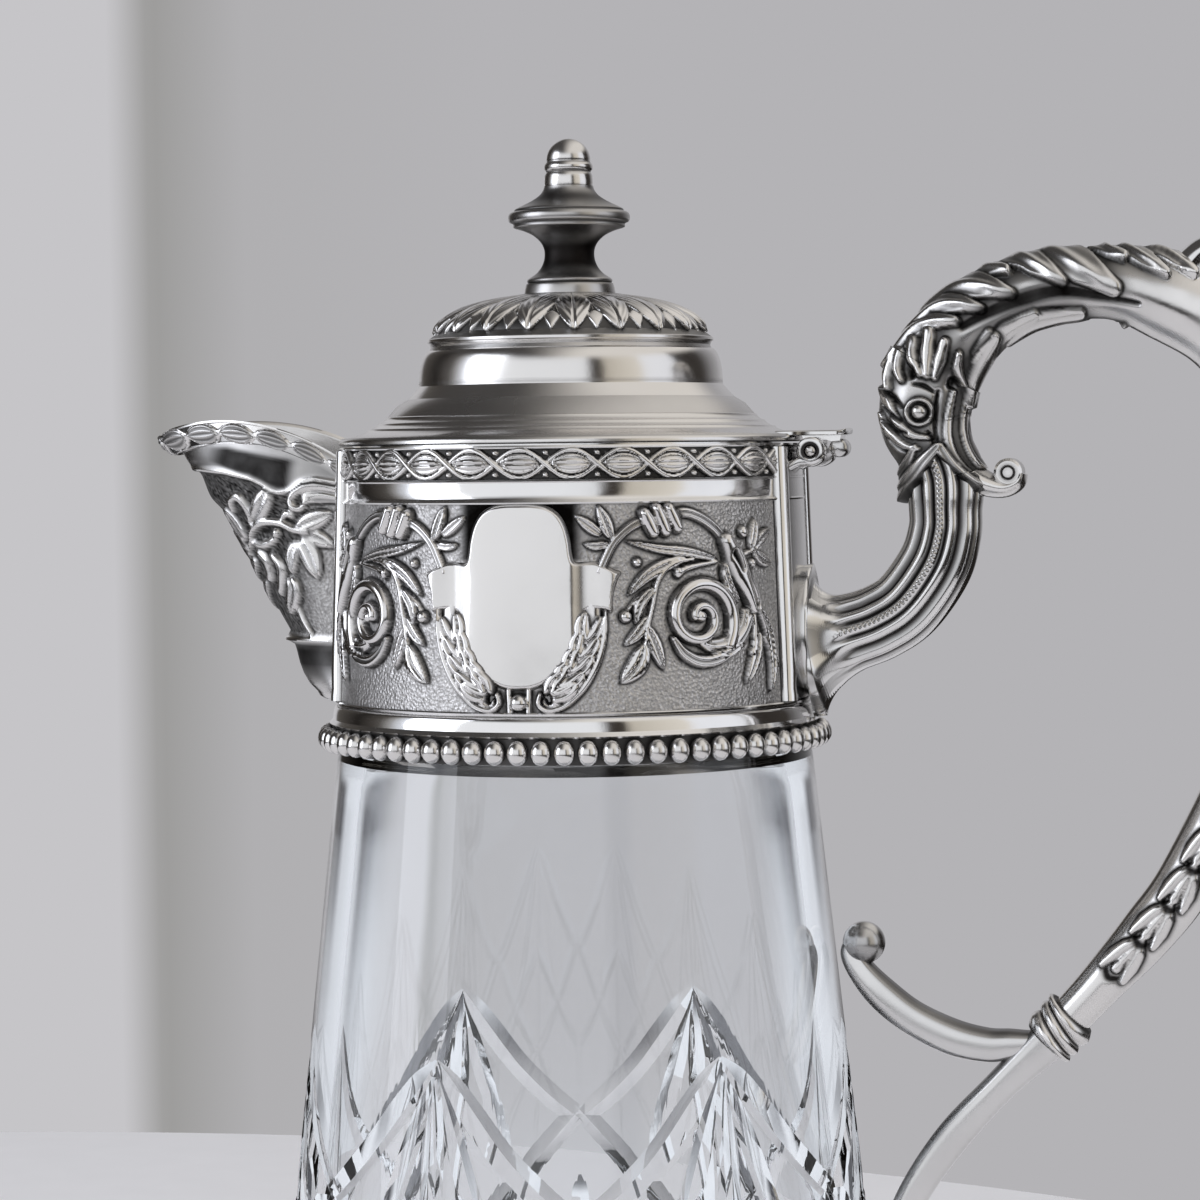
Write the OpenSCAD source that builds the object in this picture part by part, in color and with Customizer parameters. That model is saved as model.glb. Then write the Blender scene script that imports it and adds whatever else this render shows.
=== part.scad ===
// Claret jug: a cut crystal body with a raised silver collar, a spout, a hinged lid
// and a cast handle. Sizes are in millimetres, Z is up, and the origin is the centre
// of the foot. The spout points along -X, the handle along +X, the hinge pin along Y.

/* [Glass body] */
// Diameter of the glass at its foot
base_d = 128; // [120:1:136]
// Diameter of the glass where the collar starts
shoulder_d = 90; // [86:1:94]
// Height of the glass below the collar
glass_h = 175; // [150:1:200]
// Thickness of the glass wall
glass_wall = 5; // [4:0.5:6]
// Thickness of the glass floor
floor_t = 12; // [9:1:16]
// Height of the glass neck that stands inside the collar
neck_h = 16; // [12:1:18]
// Thickness of the plaster between the glass neck and the collar
bed_t = 2.4; // [1.5:0.1:3]

/* [Cut pattern] */
// Number of pointed arches cut round the glass
arch_count = 6; // [5:1:7]
// Turn of the first arch from the handle, in degrees
arch_turn = 12.7; // [0:0.1:60]
// Distance from the collar down to the tips of the arches
arch_drop = 53; // [40:1:60]
// Height of an arch from its tip to the valley beside it
arch_h = 27; // [22:1:34]
// Depth of a mitre cut
mitre_depth = 1.9; // [1:0.1:2.4]
// Width of a mitre cut for each millimetre of its depth
mitre_spread = 2.9; // [2:0.1:3.4]
// Points of the star cut under the foot
star_points = 16; // [12:1:24]
// Radius of the star cut
star_r = 50; // [30:1:54]
// Depth of the star cut
star_depth = 1.2; // [0.6:0.1:2]

/* [Collar] */
// Height of the silver collar
collar_h = 57; // [54:1:64]
// Diameter of the collar at its top
collar_top_d = 86; // [82:0.5:88]
// Thickness of the collar's silver
collar_wall = 1; // [0.8:0.1:1.3]
// Height of the leaf band
leaf_band_h = 5.4; // [4.5:0.1:6]
// Leaves on each side of the jug
leaf_count = 11; // [9:1:14]
// Number of beads in the border
bead_count = 70; // [60:1:73]
// Radius of a bead
bead_r = 1.9; // [1.4:0.05:2.2]
// Width of a cartouche between its ears
shield_w = 36.6; // [30:0.2:38]
// Thickness of a cartouche
shield_t = 1.3; // [0.8:0.1:1.8]

/* [Spout] */
// Reach of the spout from the collar
spout_reach = 39.5; // [32:0.5:46]
// Half the angle that the spout takes of the collar, in degrees
spout_half = 20; // [17:0.5:21]
// Thickness of the spout's silver
spout_wall = 1.1; // [0.9:0.1:1.4]
// Height of the channel's floor above the foot of the collar
channel_floor = 22; // [20:1:26]
// Thickness of the leaf border on the lip
border_t = 0.9; // [0.6:0.1:1.2]
// Radius of the upright wires on the collar
wire_r = 1.9; // [1.4:0.1:2.1]

/* [Lid] */
// Height of the stepped slope of the lid
slope_h = 11; // [9:0.5:13]
// Height of the polished bulge
bulge_h = 9; // [7:0.5:11]
// Diameter of the bulge
bulge_d = 57.6; // [54:0.2:62]
// Height of the leaf dome
cap_h = 8.6; // [7:0.2:11]
// Diameter of the leaf dome
cap_d = 52.4; // [48:0.2:53]
// Leaves round the dome
cap_leaves = 18; // [14:1:20]
// Thickness of the lid's silver
lid_wall = 1.1; // [0.9:0.1:1.4]
// Gap between the lid and the collar
lid_gap = 0.35; // [0.3:0.05:0.6]

/* [Finial] */
// Height of the finial's baluster
baluster_h = 21; // [18:0.5:24]
// Diameter of the finial's disc
disc_d = 23; // [20:0.5:28]
// Diameter of the finial's foot
foot_d = 17.2; // [15:0.2:19]
// Height of the button on top
button_h = 9; // [8:0.5:11]
// Diameter of the button
button_d = 9.2; // [8:0.1:11]
// Diameter of the stud that holds the finial
stud_d = 3; // [2.5:0.5:4]

/* [Hinge] */
// Diameter of the hinge pin
pin_d = 2.4; // [2:0.1:2.8]
// Diameter of the knuckles
knuckle_d = 5.2; // [4.8:0.1:5.6]
// Length of the hinge along its pin
hinge_w = 16.4; // [14:0.2:19]
// Length of the middle knuckle
middle_w = 7; // [5:0.2:8]
// Thickness of the hinge strap
strap_t = 0.9; // [0.8:0.1:1.2]

/* [Handle] */
// Height of the socket's middle above the foot of the collar
socket_rise = 20; // [18:0.5:23]
// Rise of the arch above the socket
arch_rise = 65; // [60:1:70]
// Reach of the grip's middle from the collar
grip_reach = 89; // [84:1:100]
// Drop of the knot below the socket
knot_drop = 72; // [66:1:76]
// Thickness added all round the handle
handle_swell = 0; // [-0.4:0.1:0.6]
// Depth of the flutes of the socket
flute_depth = 0.7; // [0.3:0.1:1]

/* [Hidden] */

$fn = 96;
seat = 0.05;

base_r = base_d / 2;
shoulder_r = shoulder_d / 2;
flank_slope = (base_r - shoulder_r) / glass_h;
collar_z = glass_h;
collar_top = collar_z + collar_h;
collar_slope = (shoulder_r - collar_top_d / 2) / collar_h;
neck_r = ground_r(collar_z + neck_h) - collar_wall - bed_t;

// Heights of the collar's zones, measured up from its foot or down from its top
border_h = 4.9;
lower_band_h = 4;
fillet_h = 0.6;
lip_h = 0.5;
plain_band_h = 3.2;
frieze_foot = collar_z + border_h + lower_band_h + fillet_h;
leaf_band_top = collar_top - lip_h - seat;
leaf_band_foot = leaf_band_top - leaf_band_h;
plain_band_top = leaf_band_foot - fillet_h - seat;
frieze_top = plain_band_top - plain_band_h - fillet_h;

spout_side = spout_half + 2.6;
handle_side = 16.5;
wire_half = 2.9;
leaf_from = handle_side + wire_half;
leaf_to = 180 - spout_side - wire_half;

lip_z = collar_top - 3;
tip_dz = 5.8;
border_side = 0.6;
spout_foot = frieze_foot + 0.1;
spout_steps = 14;

lid_lip = 1;
lid_z = collar_top + lid_gap;
flange_r = collar_top_d / 2 + lid_lip;
bulge_r = bulge_d / 2;
cap_r = cap_d / 2;
edge_h = 1.1;
slope_top = lid_z + slope_h;
bulge_top = slope_top + bulge_h;
lid_top = bulge_top + cap_h - 1;
lid_hole_r = stud_d / 2 + 0.1;
cap_hole_r = foot_d / 2 + 0.15;
dome_angles = [72, 45];
slope_steps = 9;

pin_fit = 0.03;
running_fit = 0.06;
knuckle_gap = 0.2;
hinge_x = flange_r + knuckle_d / 2 + 0.3;
hinge_z = collar_top - 1.55;
strap_z = hinge_z + knuckle_d / 2 + 0.3;

stud_fit = 0.05;
nut_h = 2.8;
washer_t = 0.9;
baluster_z = lid_top + seat;
button_z = baluster_z + baluster_h + seat;
stud_foot = lid_top - lid_wall - washer_t - nut_h - 0.8;
stud_top = button_z + button_h * 0.5;

socket_z = collar_z + socket_rise;
wall_x = ground_r(socket_z);
plate_x = wall_x + 1.9;
arch_z = socket_z + arch_rise;
knot_z = socket_z - knot_drop;
knot_x = wall_x + 0.53 * grip_reach;
grip_x = wall_x + grip_reach;

// Radius of the glass at height z, and of the collar's plain ground
function flank_r(z) = base_r - flank_slope * z;
function ground_r(z) = shoulder_r - collar_slope * (z - collar_z);

function mix(a, b, t) = a + (b - a) * t;
function unit(v) = v / norm(v);
function polar(r, angle, z) = [r * cos(angle), r * sin(angle), z];

// Smooth line through stations, with n steps between each pair
function blend(a, b, c, d, t) =
    0.5 * (2 * b + (c - a) * t + (2 * a - 5 * b + 4 * c - d) * t * t
    + (3 * b - 3 * c + d - a) * t * t * t);
function smooth(p, n) = [
    for (i = [0:len(p) - 2], k = [0:n - 1])
        blend(p[max(i - 1, 0)], p[i], p[i + 1], p[min(i + 2, len(p) - 1)], k / n),
    p[len(p) - 1]
];

// Skin over rows of points: each row joins the next, and the last joins the first
// when ring is true. Wrapped rows close on themselves, and open ones are capped.
module skin(rows, wrap, ring) {
    m = len(rows);
    n = len(rows[0]);
    points = [for (row = rows, p = row) p];
    last_row = ring ? m - 1 : m - 2;
    last_column = wrap ? n - 1 : n - 2;
    sides = [
        for (i = [0:last_row], j = [0:last_column])
            let (a = i * n + j, b = i * n + (j + 1) % n)
            let (c = ((i + 1) % m) * n + (j + 1) % n, d = ((i + 1) % m) * n + j)
            each [[a, b, c], [a, c, d]]
    ];
    row_caps = ring ? [] : [
        [for (j = [n - 1:-1:0]) j],
        [for (j = [0:n - 1]) (m - 1) * n + j]
    ];
    column_caps = wrap ? [] : [
        [for (i = [0:m - 1]) i * n],
        [for (i = [m - 1:-1:0]) i * n + n - 1]
    ];
    polyhedron(points, concat(sides, row_caps, column_caps), convexity = 8);
}

// Glass body

// V-shaped groove between two points of the flank, each an angle and a height
module mitre(from, to) {
    a = polar(flank_r(from[1]), from[0], from[1]);
    b = polar(flank_r(to[1]), to[0], to[1]);
    middle = (a + b) / 2;
    along = unit(b - a);
    out = unit(cross(cross(along, [middle[0], middle[1], flank_slope * norm([middle[0], middle[1]])]), along));
    side = cross(out, along);
    half = norm(b - a) / 2 + mitre_depth;
    lift = flank_r(middle[2]) - norm([middle[0], middle[1]]);
    depth = mitre_depth - lift;
    top = 3 + lift;
    spread = mitre_spread / 2;
    multmatrix([
        [side[0], out[0], along[0], middle[0]],
        [side[1], out[1], along[1], middle[1]],
        [side[2], out[2], along[2], middle[2]]
    ])
        translate([0, 0, -half])
            linear_extrude(height = 2 * half)
                polygon([[0, -depth], [spread * (top + depth), top], [-spread * (top + depth), top]]);
}

module arch_cuts() {
    step = 360 / arch_count;
    tip_z = collar_z - arch_drop;
    valley_z = tip_z - arch_h;
    lower_z = valley_z - arch_h;
    for (k = [0:arch_count - 1], s = [-1, 1]) {
        turn = arch_turn + k * step;
        shoulder = [turn + s * step * 0.26, tip_z - arch_h * 0.42];
        mitre([turn, tip_z], shoulder);
        mitre(shoulder, [turn + s * step / 2, valley_z]);
        mitre([turn, tip_z], [turn + s * step * 0.17, valley_z]);
        mitre([turn + s * step / 2, valley_z], [turn, lower_z]);
        mitre([turn + s * step / 2, lower_z], [turn, valley_z]);
    }
    for (k = [0:2 * arch_count - 1]) {
        turn = arch_turn + k * step / 2;
        mitre([turn, k % 2 == 0 ? tip_z - arch_h * 0.5 : valley_z], [turn, lower_z - arch_h * 0.8]);
    }
}

module star_cuts() {
    for (k = [0:star_points - 1])
        rotate([0, 0, (k + 0.5) * 360 / star_points])
            rotate([90, 0, 90])
                linear_extrude(height = star_r)
                    polygon([[0, star_depth], [2.6 * star_depth, -star_depth / 2], [-2.6 * star_depth, -star_depth / 2]]);
}

module glass_body() {
    inner_r = flank_r(collar_z) - glass_wall;
    neck_bore = neck_r - glass_wall;
    color([0.86, 0.9, 0.92, 0.45])
        difference() {
            rotate_extrude()
                polygon([
                    [0, 0], [base_r - 1.4, 0], [flank_r(1.4), 1.4],
                    [flank_r(collar_z), collar_z], [neck_r, collar_z],
                    [neck_r, collar_z + neck_h - 1.5], [neck_r - 1.5, collar_z + neck_h],
                    [neck_bore + 1.5, collar_z + neck_h], [neck_bore, collar_z + neck_h - 1.5],
                    [neck_bore, collar_z + 3], [inner_r - 0.6, collar_z - 5],
                    [flank_r(collar_z - 14) - glass_wall, collar_z - 14],
                    [flank_r(floor_t + 8) - glass_wall, floor_t + 8],
                    [flank_r(floor_t + 3) - glass_wall - 2.4, floor_t + 2.4],
                    [flank_r(floor_t) - glass_wall - 8, floor_t], [0, floor_t]
                ]);
            arch_cuts();
            star_cuts();
        }
}

module plaster_bed() {
    foot = collar_z + seat;
    top = collar_z + neck_h - 2.5;
    color("ivory")
        rotate_extrude()
            polygon([
                [neck_r + seat, foot], [ground_r(foot) - collar_wall - seat, foot],
                [ground_r(top) - collar_wall - seat, top], [neck_r + seat, top]
            ]);
}

// Collar

// Ring segment of the space outside the collar's ground, from one height to another
module outside(from_angle, angle, z0, z1) {
    rotate([0, 0, from_angle])
        rotate_extrude(angle = angle)
            polygon([[ground_r(z0), z0], [ground_r(z0) + 6, z0], [ground_r(z1) + 6, z1], [ground_r(z1), z1]]);
}

// Solid of the collar's ground with a seat's clearance
module ground(z0, z1) {
    translate([0, 0, z0])
        cylinder(r1 = ground_r(z0) + seat, r2 = ground_r(z1) + seat, h = z1 - z0);
}

module spout_window() {
    foot = collar_z + channel_floor;
    half = ground_r(foot) * sin(spout_half) - 2.5;
    translate([-shoulder_r - 5, -half, foot])
        cube([14, 2 * half, leaf_band_foot - 0.6 - foot]);
}

module collar_shell() {
    z1 = collar_z + seat;
    z2 = collar_z + border_h;
    z3 = z2 + lower_band_h;
    profile = [
        [ground_r(z1), z1], [ground_r(z2), z2], [ground_r(z2) + 0.9, z2],
        [ground_r(z3) + 0.35, z3 - 1.6], [ground_r(z3) + 0.3, z3],
        [ground_r(z3) + 0.6, z3], [ground_r(frieze_foot) + 0.6, frieze_foot],
        [ground_r(frieze_foot), frieze_foot], [ground_r(frieze_top), frieze_top],
        [ground_r(frieze_top) + 0.5, frieze_top], [ground_r(frieze_top) + 0.5, frieze_top + fillet_h],
        [ground_r(frieze_top) + 0.2, frieze_top + fillet_h], [ground_r(plain_band_top) + 0.2, plain_band_top],
        [ground_r(plain_band_top) + 0.6, plain_band_top],
        [ground_r(plain_band_top) + 0.6, leaf_band_foot - seat],
        [ground_r(leaf_band_foot), leaf_band_foot - seat], [ground_r(collar_top - lip_h), collar_top - lip_h],
        [ground_r(collar_top) + 1, collar_top - lip_h], [ground_r(collar_top) + 1, collar_top],
        [ground_r(collar_top) - collar_wall, collar_top], [ground_r(z1) - collar_wall, z1]
    ];
    color("silver")
        difference() {
            rotate_extrude()
                polygon(profile);
            outside(leaf_to, 360 - 2 * leaf_to, frieze_top, leaf_band_foot - seat);
            outside(-leaf_from, 2 * leaf_from, frieze_top, leaf_band_foot - seat);
            spout_window();
        }
}

// Height of a leaf's relief at a place across (u) and up (v) one repeat of the band
function leaf_relief(u, v) =
    let (oval = pow(u / 0.46, 2) + pow(v / 0.86, 2))
    0.3 + (oval < 1 ? 0.3 + 0.6 * sqrt(1 - oval) : 0);

module leaf_arc(from_angle, to_angle) {
    columns = 5 * leaf_count;
    function column_angle(j) = mix(from_angle, to_angle, j / columns);
    levels = [-1, -0.7, -0.25, 0.25, 0.7, 1];
    rows = [
        for (v = levels)
            let (z = mix(leaf_band_foot, leaf_band_top, (v + 1) / 2))
            [
                for (j = [0:columns])
                    let (u = (j % 5) / 5 - 0.5)
                    polar(ground_r(z) + seat + leaf_relief(u, v), column_angle(j), z)
            ],
        [for (j = [0:columns]) polar(ground_r(leaf_band_top) + seat, column_angle(j), leaf_band_top)],
        [for (j = [0:columns]) polar(ground_r(leaf_band_foot) + seat, column_angle(j), leaf_band_foot)]
    ];
    skin(rows, wrap = false, ring = true);
}

module collar_leaf_band() {
    color("gainsboro") {
        leaf_arc(leaf_from, leaf_to);
        leaf_arc(360 - leaf_to, 360 - leaf_from);
    }
}

module collar_bezel() {
    foot = collar_top - 3.8;
    inner = ground_r(collar_top) - collar_wall - 1.6;
    color("lightgray")
        rotate_extrude()
            polygon([
                [inner, foot], [ground_r(foot) - collar_wall - seat, foot],
                [ground_r(collar_top) - collar_wall - seat, collar_top - 0.2], [inner, collar_top - 0.2]
            ]);
}

// Bulge of a bead at a place across (u) and up (v) one repeat of the border
function bead_bulge(u, v) = bead_r * sqrt(max(0, 1 - pow(u / 0.47, 2) - v * v));

module bead_border() {
    columns = 4 * bead_count;
    foot = collar_z + 0.2;
    top = collar_z + border_h - 0.1;
    levels = [-1, -0.72, 0, 0.72, 1];
    rows = [
        for (v = levels)
            let (z = mix(foot, top, (v + 1) / 2))
            [
                for (j = [0:columns - 1])
                    let (u = (j % 4) / 4 - 0.5)
                    polar(ground_r(z) + 1.1 + bead_bulge(u, v), 360 * j / columns, z)
            ],
        [for (j = [0:columns - 1]) polar(ground_r(top) + seat, 360 * j / columns, top)],
        [for (j = [0:columns - 1]) polar(ground_r(foot) + seat, 360 * j / columns, foot)]
    ];
    color("silver") skin(rows, wrap = true, ring = true);
}

// Outline of the shield as seen from the side of the jug, right half from the top down
function shield_half(w, h) = [
    [0, h], [0.08 * w, h * 0.998], [0.14 * w, 0.98 * h], [0.22 * w, 0.91 * h], [0.255 * w, 0.8 * h],
    [0.265 * w, 0.69 * h], [0.355 * w, 0.695 * h], [0.424 * w, 0.67 * h], [0.5 * w, 0.63 * h],
    [0.465 * w, 0.53 * h], [0.45 * w, 0.42 * h], [0.34 * w, 0.45 * h], [0.28 * w, 0.44 * h],
    [0.268 * w, 0.32 * h], [0.232 * w, 0.2 * h], [0.178 * w, 0.1 * h], [0.12 * w, 0.04 * h], [0, 0]
];

module cartouche() {
    foot = frieze_foot + 3.8;
    h = frieze_top - 0.1 - foot;
    half = shield_half(shield_w, h);
    outline = concat(half, [for (i = [len(half) - 2:-1:1]) [-half[i][0], half[i][1]]]);
    intersection() {
        translate([0, 0, foot])
            rotate([90, 0, 0])
                linear_extrude(height = shoulder_r + 10)
                    polygon(outline);
        rotate_extrude()
            polygon([
                [ground_r(foot) + seat, foot], [ground_r(foot) + shield_t, foot],
                [ground_r(foot + h) + shield_t, foot + h], [ground_r(foot + h) + seat, foot + h]
            ]);
    }
}

module cartouche_front() {
    color("whitesmoke") cartouche();
}

module cartouche_back() {
    color("whitesmoke") rotate([0, 0, 180]) cartouche();
}

module wall_wire(angle) {
    foot = frieze_foot + 0.1;
    top = collar_top - lip_h - 0.1;
    tilt = atan(collar_slope);
    rotate([0, 0, angle])
        difference() {
            translate([ground_r(foot), 0, foot])
                rotate([0, -tilt, 0])
                    cylinder(r = wire_r, h = top - foot);
            ground(foot - 5, top + 5);
        }
}

module spout_side_wires() {
    color("silver")
        for (s = [-1, 1])
            wall_wire(180 + s * spout_side);
}

module handle_side_wires() {
    color("silver")
        for (s = [-1, 1])
            wall_wire(s * handle_side);
}

// Spout

// Height of the lip over the height of its ends, g from 0 at the collar to 1 at the tip
function lip_rise(g) = 24 * g - (24 - tip_dz) * g * g;

// Row of the spout: reach at the keel, heights at the side and at the keel, and whether
// it follows the lip's curve. s runs from -1 to 1 between the spout's two sides.
function spout_row(reach, side_z, keel_z, half, curved) = [
    for (k = [-spout_steps:spout_steps])
        let (t = 90 * k / spout_steps, s = sin(t), g = cos(t))
        let (z = curved ? side_z + lip_rise(g) + (keel_z - side_z - tip_dz) * g : mix(side_z, keel_z, g))
        let (r = ground_r(z) + seat)
        [-r * cos(half * s) - reach * g, -r * sin(half * s), z]
];

module spout_shell() {
    w = spout_wall;
    lip_half = spout_half - border_side - 0.1;
    inner_half = spout_half - 1.8;
    panel_top = lip_z - 5;
    ledge_z = frieze_foot + 10.6;
    floor_z = collar_z + channel_floor;
    function panel_z(t) = mix(panel_top, ledge_z, t);
    outer = [
        spout_row(spout_reach - 2, lip_z + 0.6, lip_z + tip_dz + 0.6, lip_half - 0.3, true),
        spout_row(spout_reach - 0.5 - border_t, lip_z, lip_z + tip_dz, lip_half, true),
        spout_row(spout_reach - 3 - border_t, lip_z - 3.4, lip_z + tip_dz - 3.4, lip_half, true),
        spout_row(spout_reach * 0.805, panel_top + 0.6, lip_z - 0.1, spout_half, false),
        spout_row(spout_reach * 0.775, panel_top - 0.4, lip_z - 1.7, spout_half, false),
        spout_row(spout_reach * 0.59, panel_z(0.3), panel_z(0.26), spout_half, false),
        spout_row(spout_reach * 0.44, panel_z(0.6), panel_z(0.6), spout_half, false),
        spout_row(spout_reach * 0.29, ledge_z + 1.6, ledge_z + 1.6, spout_half, false),
        spout_row(spout_reach * 0.3, ledge_z + 1, ledge_z + 1, spout_half, false),
        spout_row(spout_reach * 0.3, ledge_z, ledge_z, spout_half, false),
        spout_row(spout_reach * 0.26, ledge_z - 0.6, ledge_z - 0.6, spout_half, false),
        spout_row(spout_reach * 0.225, ledge_z - 4, ledge_z - 4, spout_half, false),
        spout_row(spout_reach * 0.18, ledge_z - 7.4, ledge_z - 7.4, spout_half, false),
        spout_row(spout_reach * 0.12, spout_foot + 0.8, spout_foot + 0.8, spout_half, false),
        spout_row(0, spout_foot, spout_foot, spout_half, false)
    ];
    inner = [
        spout_row(0, floor_z - 0.5, floor_z - 0.5, inner_half, false),
        spout_row(spout_reach * 0.29 - 1.6 * w, floor_z, floor_z, inner_half, false),
        spout_row(spout_reach * 0.44 - 1.2 * w, panel_z(0.6), panel_z(0.6), inner_half, false),
        spout_row(spout_reach * 0.59 - 1.2 * w, panel_z(0.3), panel_z(0.26), inner_half, false),
        spout_row(spout_reach * 0.775 - 1.2 * w, panel_top - 0.5, lip_z - 1.6, inner_half, false),
        spout_row(spout_reach - 3 - border_t - 1.4 * w, lip_z - 2.6, lip_z + tip_dz - 2.4, inner_half, true),
        spout_row(spout_reach - 2 - w, lip_z + 0.1, lip_z + tip_dz + 0.2, inner_half, true)
    ];
    color("silver") skin(concat(outer, inner), wrap = false, ring = true);
}

module spout_leaf_border() {
    t = border_t;
    foot_half = spout_half - border_side;
    color("gainsboro")
        skin([
            spout_row(spout_reach - 0.5 - t + seat, lip_z, lip_z + tip_dz, foot_half, true),
            spout_row(spout_reach, lip_z - 0.5, lip_z + tip_dz - 0.4, spout_half - 0.2, true),
            spout_row(spout_reach - 0.9, lip_z - 1.8, lip_z + tip_dz - 1.8, spout_half, true),
            spout_row(spout_reach - 2.6, lip_z - 3.1, lip_z + tip_dz - 3.3, spout_half - 0.2, true),
            spout_row(spout_reach - 3 - t + seat, lip_z - 3.4, lip_z + tip_dz - 3.4, foot_half, true)
        ], wrap = false, ring = true);
}

// Hinge

module along_pin(r, y0, y1) {
    translate([hinge_x, y0, hinge_z])
        rotate([-90, 0, 0])
            cylinder(r = r, h = y1 - y0);
}

module hinge_bracket() {
    y1 = middle_w / 2 + knuckle_gap;
    y2 = hinge_w / 2;
    plate_z = hinge_z - knuckle_d / 2 - 1.5;
    color("silver")
        difference() {
            union() {
                for (s = [-1, 1]) {
                    along_pin(knuckle_d / 2, min(s * y1, s * y2), max(s * y1, s * y2));
                    translate([ground_r(collar_z) - 6, min(s * y1, s * y2), plate_z])
                        cube([hinge_x - ground_r(collar_z) + 6, y2 - y1, hinge_z - 1.6 - plate_z]);
                    translate([hinge_x - 1, min(s * y1, s * y2), plate_z])
                        cube([knuckle_d / 2, y2 - y1, knuckle_d / 2 + 0.5]);
                }
                translate([ground_r(collar_z) - 6, -y2, plate_z])
                    cube([hinge_x - ground_r(collar_z) + 6 + knuckle_d / 2 - 1, 2 * y2, 0.9]);
            }
            ground(plate_z - 10, collar_top);
            along_pin(pin_d / 2 + pin_fit, -hinge_w, hinge_w);
        }
}

module hinge_pin() {
    color("gainsboro")
        along_pin(pin_d / 2, -hinge_w / 2 + 0.3, hinge_w / 2 - 0.3);
}

module hinge_leaf() {
    y1 = middle_w / 2;
    y2 = hinge_w / 2;
    color("silver")
        difference() {
            union() {
                along_pin(knuckle_d / 2, -y1, y1);
                translate([hinge_x - knuckle_d * 0.42, -y1, hinge_z + 0.4])
                    cube([knuckle_d * 0.84, 2 * y1, strap_z - hinge_z]);
                translate([hinge_x - knuckle_d / 2 - 4, -y2, strap_z])
                    cube([knuckle_d + 5.2, 2 * y2, strap_t]);
            }
            lid_envelope();
            along_pin(pin_d / 2 + running_fit, -hinge_w, hinge_w);
        }
}

// Lid

function slope_point(t) = [
    mix(flange_r - 0.6, bulge_r, t),
    lid_z + edge_h + 0.3 + (slope_h - edge_h - 0.3) * pow(t, 1.8)
];

// Dome under the leaf cap: a superellipse of radius r and height h at angle a
function dome(r, h, a) = [r * pow(sin(a), 0.9), h * pow(cos(a), 0.9)];

// Outer line of the lid, from the edge of the flange up to the foot of the cap
lid_side = concat(
    [[flange_r, lid_z], [flange_r, lid_z + edge_h - 0.3], [flange_r - 0.3, lid_z + edge_h]],
    [
        for (i = [0:slope_steps - 1])
            let (p = slope_point(i / slope_steps))
            each (i % 2 == 1 && i > 2 ? [p, p + [0, 0.35]] : [p])
    ],
    [
        for (a = [0:15:90])
            [cap_r + 0.6 + (bulge_r - cap_r - 0.6) * cos(a), slope_top + bulge_h * 0.7 * sin(a)]
    ],
    [[cap_r + 0.3, bulge_top - bulge_h * 0.25], [cap_r + 0.3, bulge_top]]
);

module lid_envelope() {
    rotate_extrude()
        polygon(concat([[0, lid_z - seat], [flange_r + seat, lid_z - seat]],
            [for (p = lid_side) p + [seat, seat]], [[0, bulge_top + seat]]));
}

module lid_shell() {
    w = lid_wall;
    inner_side = [
        [flange_r - 5.6, lid_z], [flange_r - 6.4, slope_point(0.42)[1] - w],
        for (t = [0.6, 0.8]) slope_point(t) - [0.7 * w, 1.1 * w],
        [bulge_r - w, slope_top - 0.4], [bulge_r - w - 0.4, slope_top + bulge_h * 0.35],
        [cap_r - w, slope_top + bulge_h * 0.7], [cap_r - 1.6 * w - 0.6, bulge_top - w]
    ];
    dome_out = [for (a = dome_angles) dome(cap_r - 1.25, cap_h - 1, a) + [0, bulge_top]];
    dome_in = [for (a = [30, 45, 60, 72]) dome(cap_r - 1.4 - w, cap_h - 1.2 - w, a) + [0, bulge_top]];
    color("silver")
        rotate_extrude()
            polygon(concat(lid_side, [[cap_r - 1.15, bulge_top]], dome_out,
                [[cap_hole_r, lid_top], [lid_hole_r, lid_top]],
                [[lid_hole_r, lid_top - w], [cap_hole_r - 1, lid_top - w]], dome_in,
                [for (i = [len(inner_side) - 1:-1:0]) inner_side[i]]));
}

// Relief of the dome's leaves: u across one leaf, v from the edge (0) to the top (1)
function cap_relief(u, v) =
    let (half = min(0.5, 0.12 + 0.62 * v), x = abs(u) / half)
    x < 1 ? 0.25 + 0.7 * sqrt(1 - x * x) : 0;

module lid_leaf_dome() {
    columns = 5 * cap_leaves;
    angles = [84, 74, 64, 55, 46, 37, 29];
    function cap_angle(j) = 360 * j / columns;
    outer = [
        for (i = [0:len(angles) - 1])
            let (v = i / (len(angles) - 1), p = dome(cap_r - 0.8, cap_h - 0.5, angles[i]))
            [
                for (j = [0:columns - 1])
                    let (u = (j % 5) / 5 - 0.5, lift = cap_relief(u, v) * (1 - 0.5 * v))
                    polar(p[0] + lift * sin(angles[i]), cap_angle(j), bulge_top + p[1] + lift * cos(angles[i]))
            ]
    ];
    function round_row(r, z) = [for (j = [0:columns - 1]) polar(r, cap_angle(j), z)];
    inner = [
        round_row(cap_hole_r, bulge_top + cap_h - 0.2),
        round_row(cap_hole_r, lid_top + seat),
        for (i = [len(dome_angles) - 1:-1:0])
            let (p = dome(cap_r - 1.1, cap_h - 0.9, dome_angles[i]))
            round_row(p[0], bulge_top + p[1]),
        round_row(cap_r - 1, bulge_top + seat),
        round_row(cap_r, bulge_top + seat)
    ];
    color("gainsboro") skin(concat(outer, inner), wrap = true, ring = true);
}

module lid_bezel() {
    outer = ground_r(collar_top) - collar_wall - 1.6 - 0.35;
    color("lightgray")
        rotate_extrude()
            polygon([
                [outer - 0.9, collar_top - 3.4], [outer - 0.2, collar_top - 3.4], [outer, collar_top - 3],
                [outer, lid_z - seat], [outer - 0.9, lid_z - seat]
            ]);
}

// Finial

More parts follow.
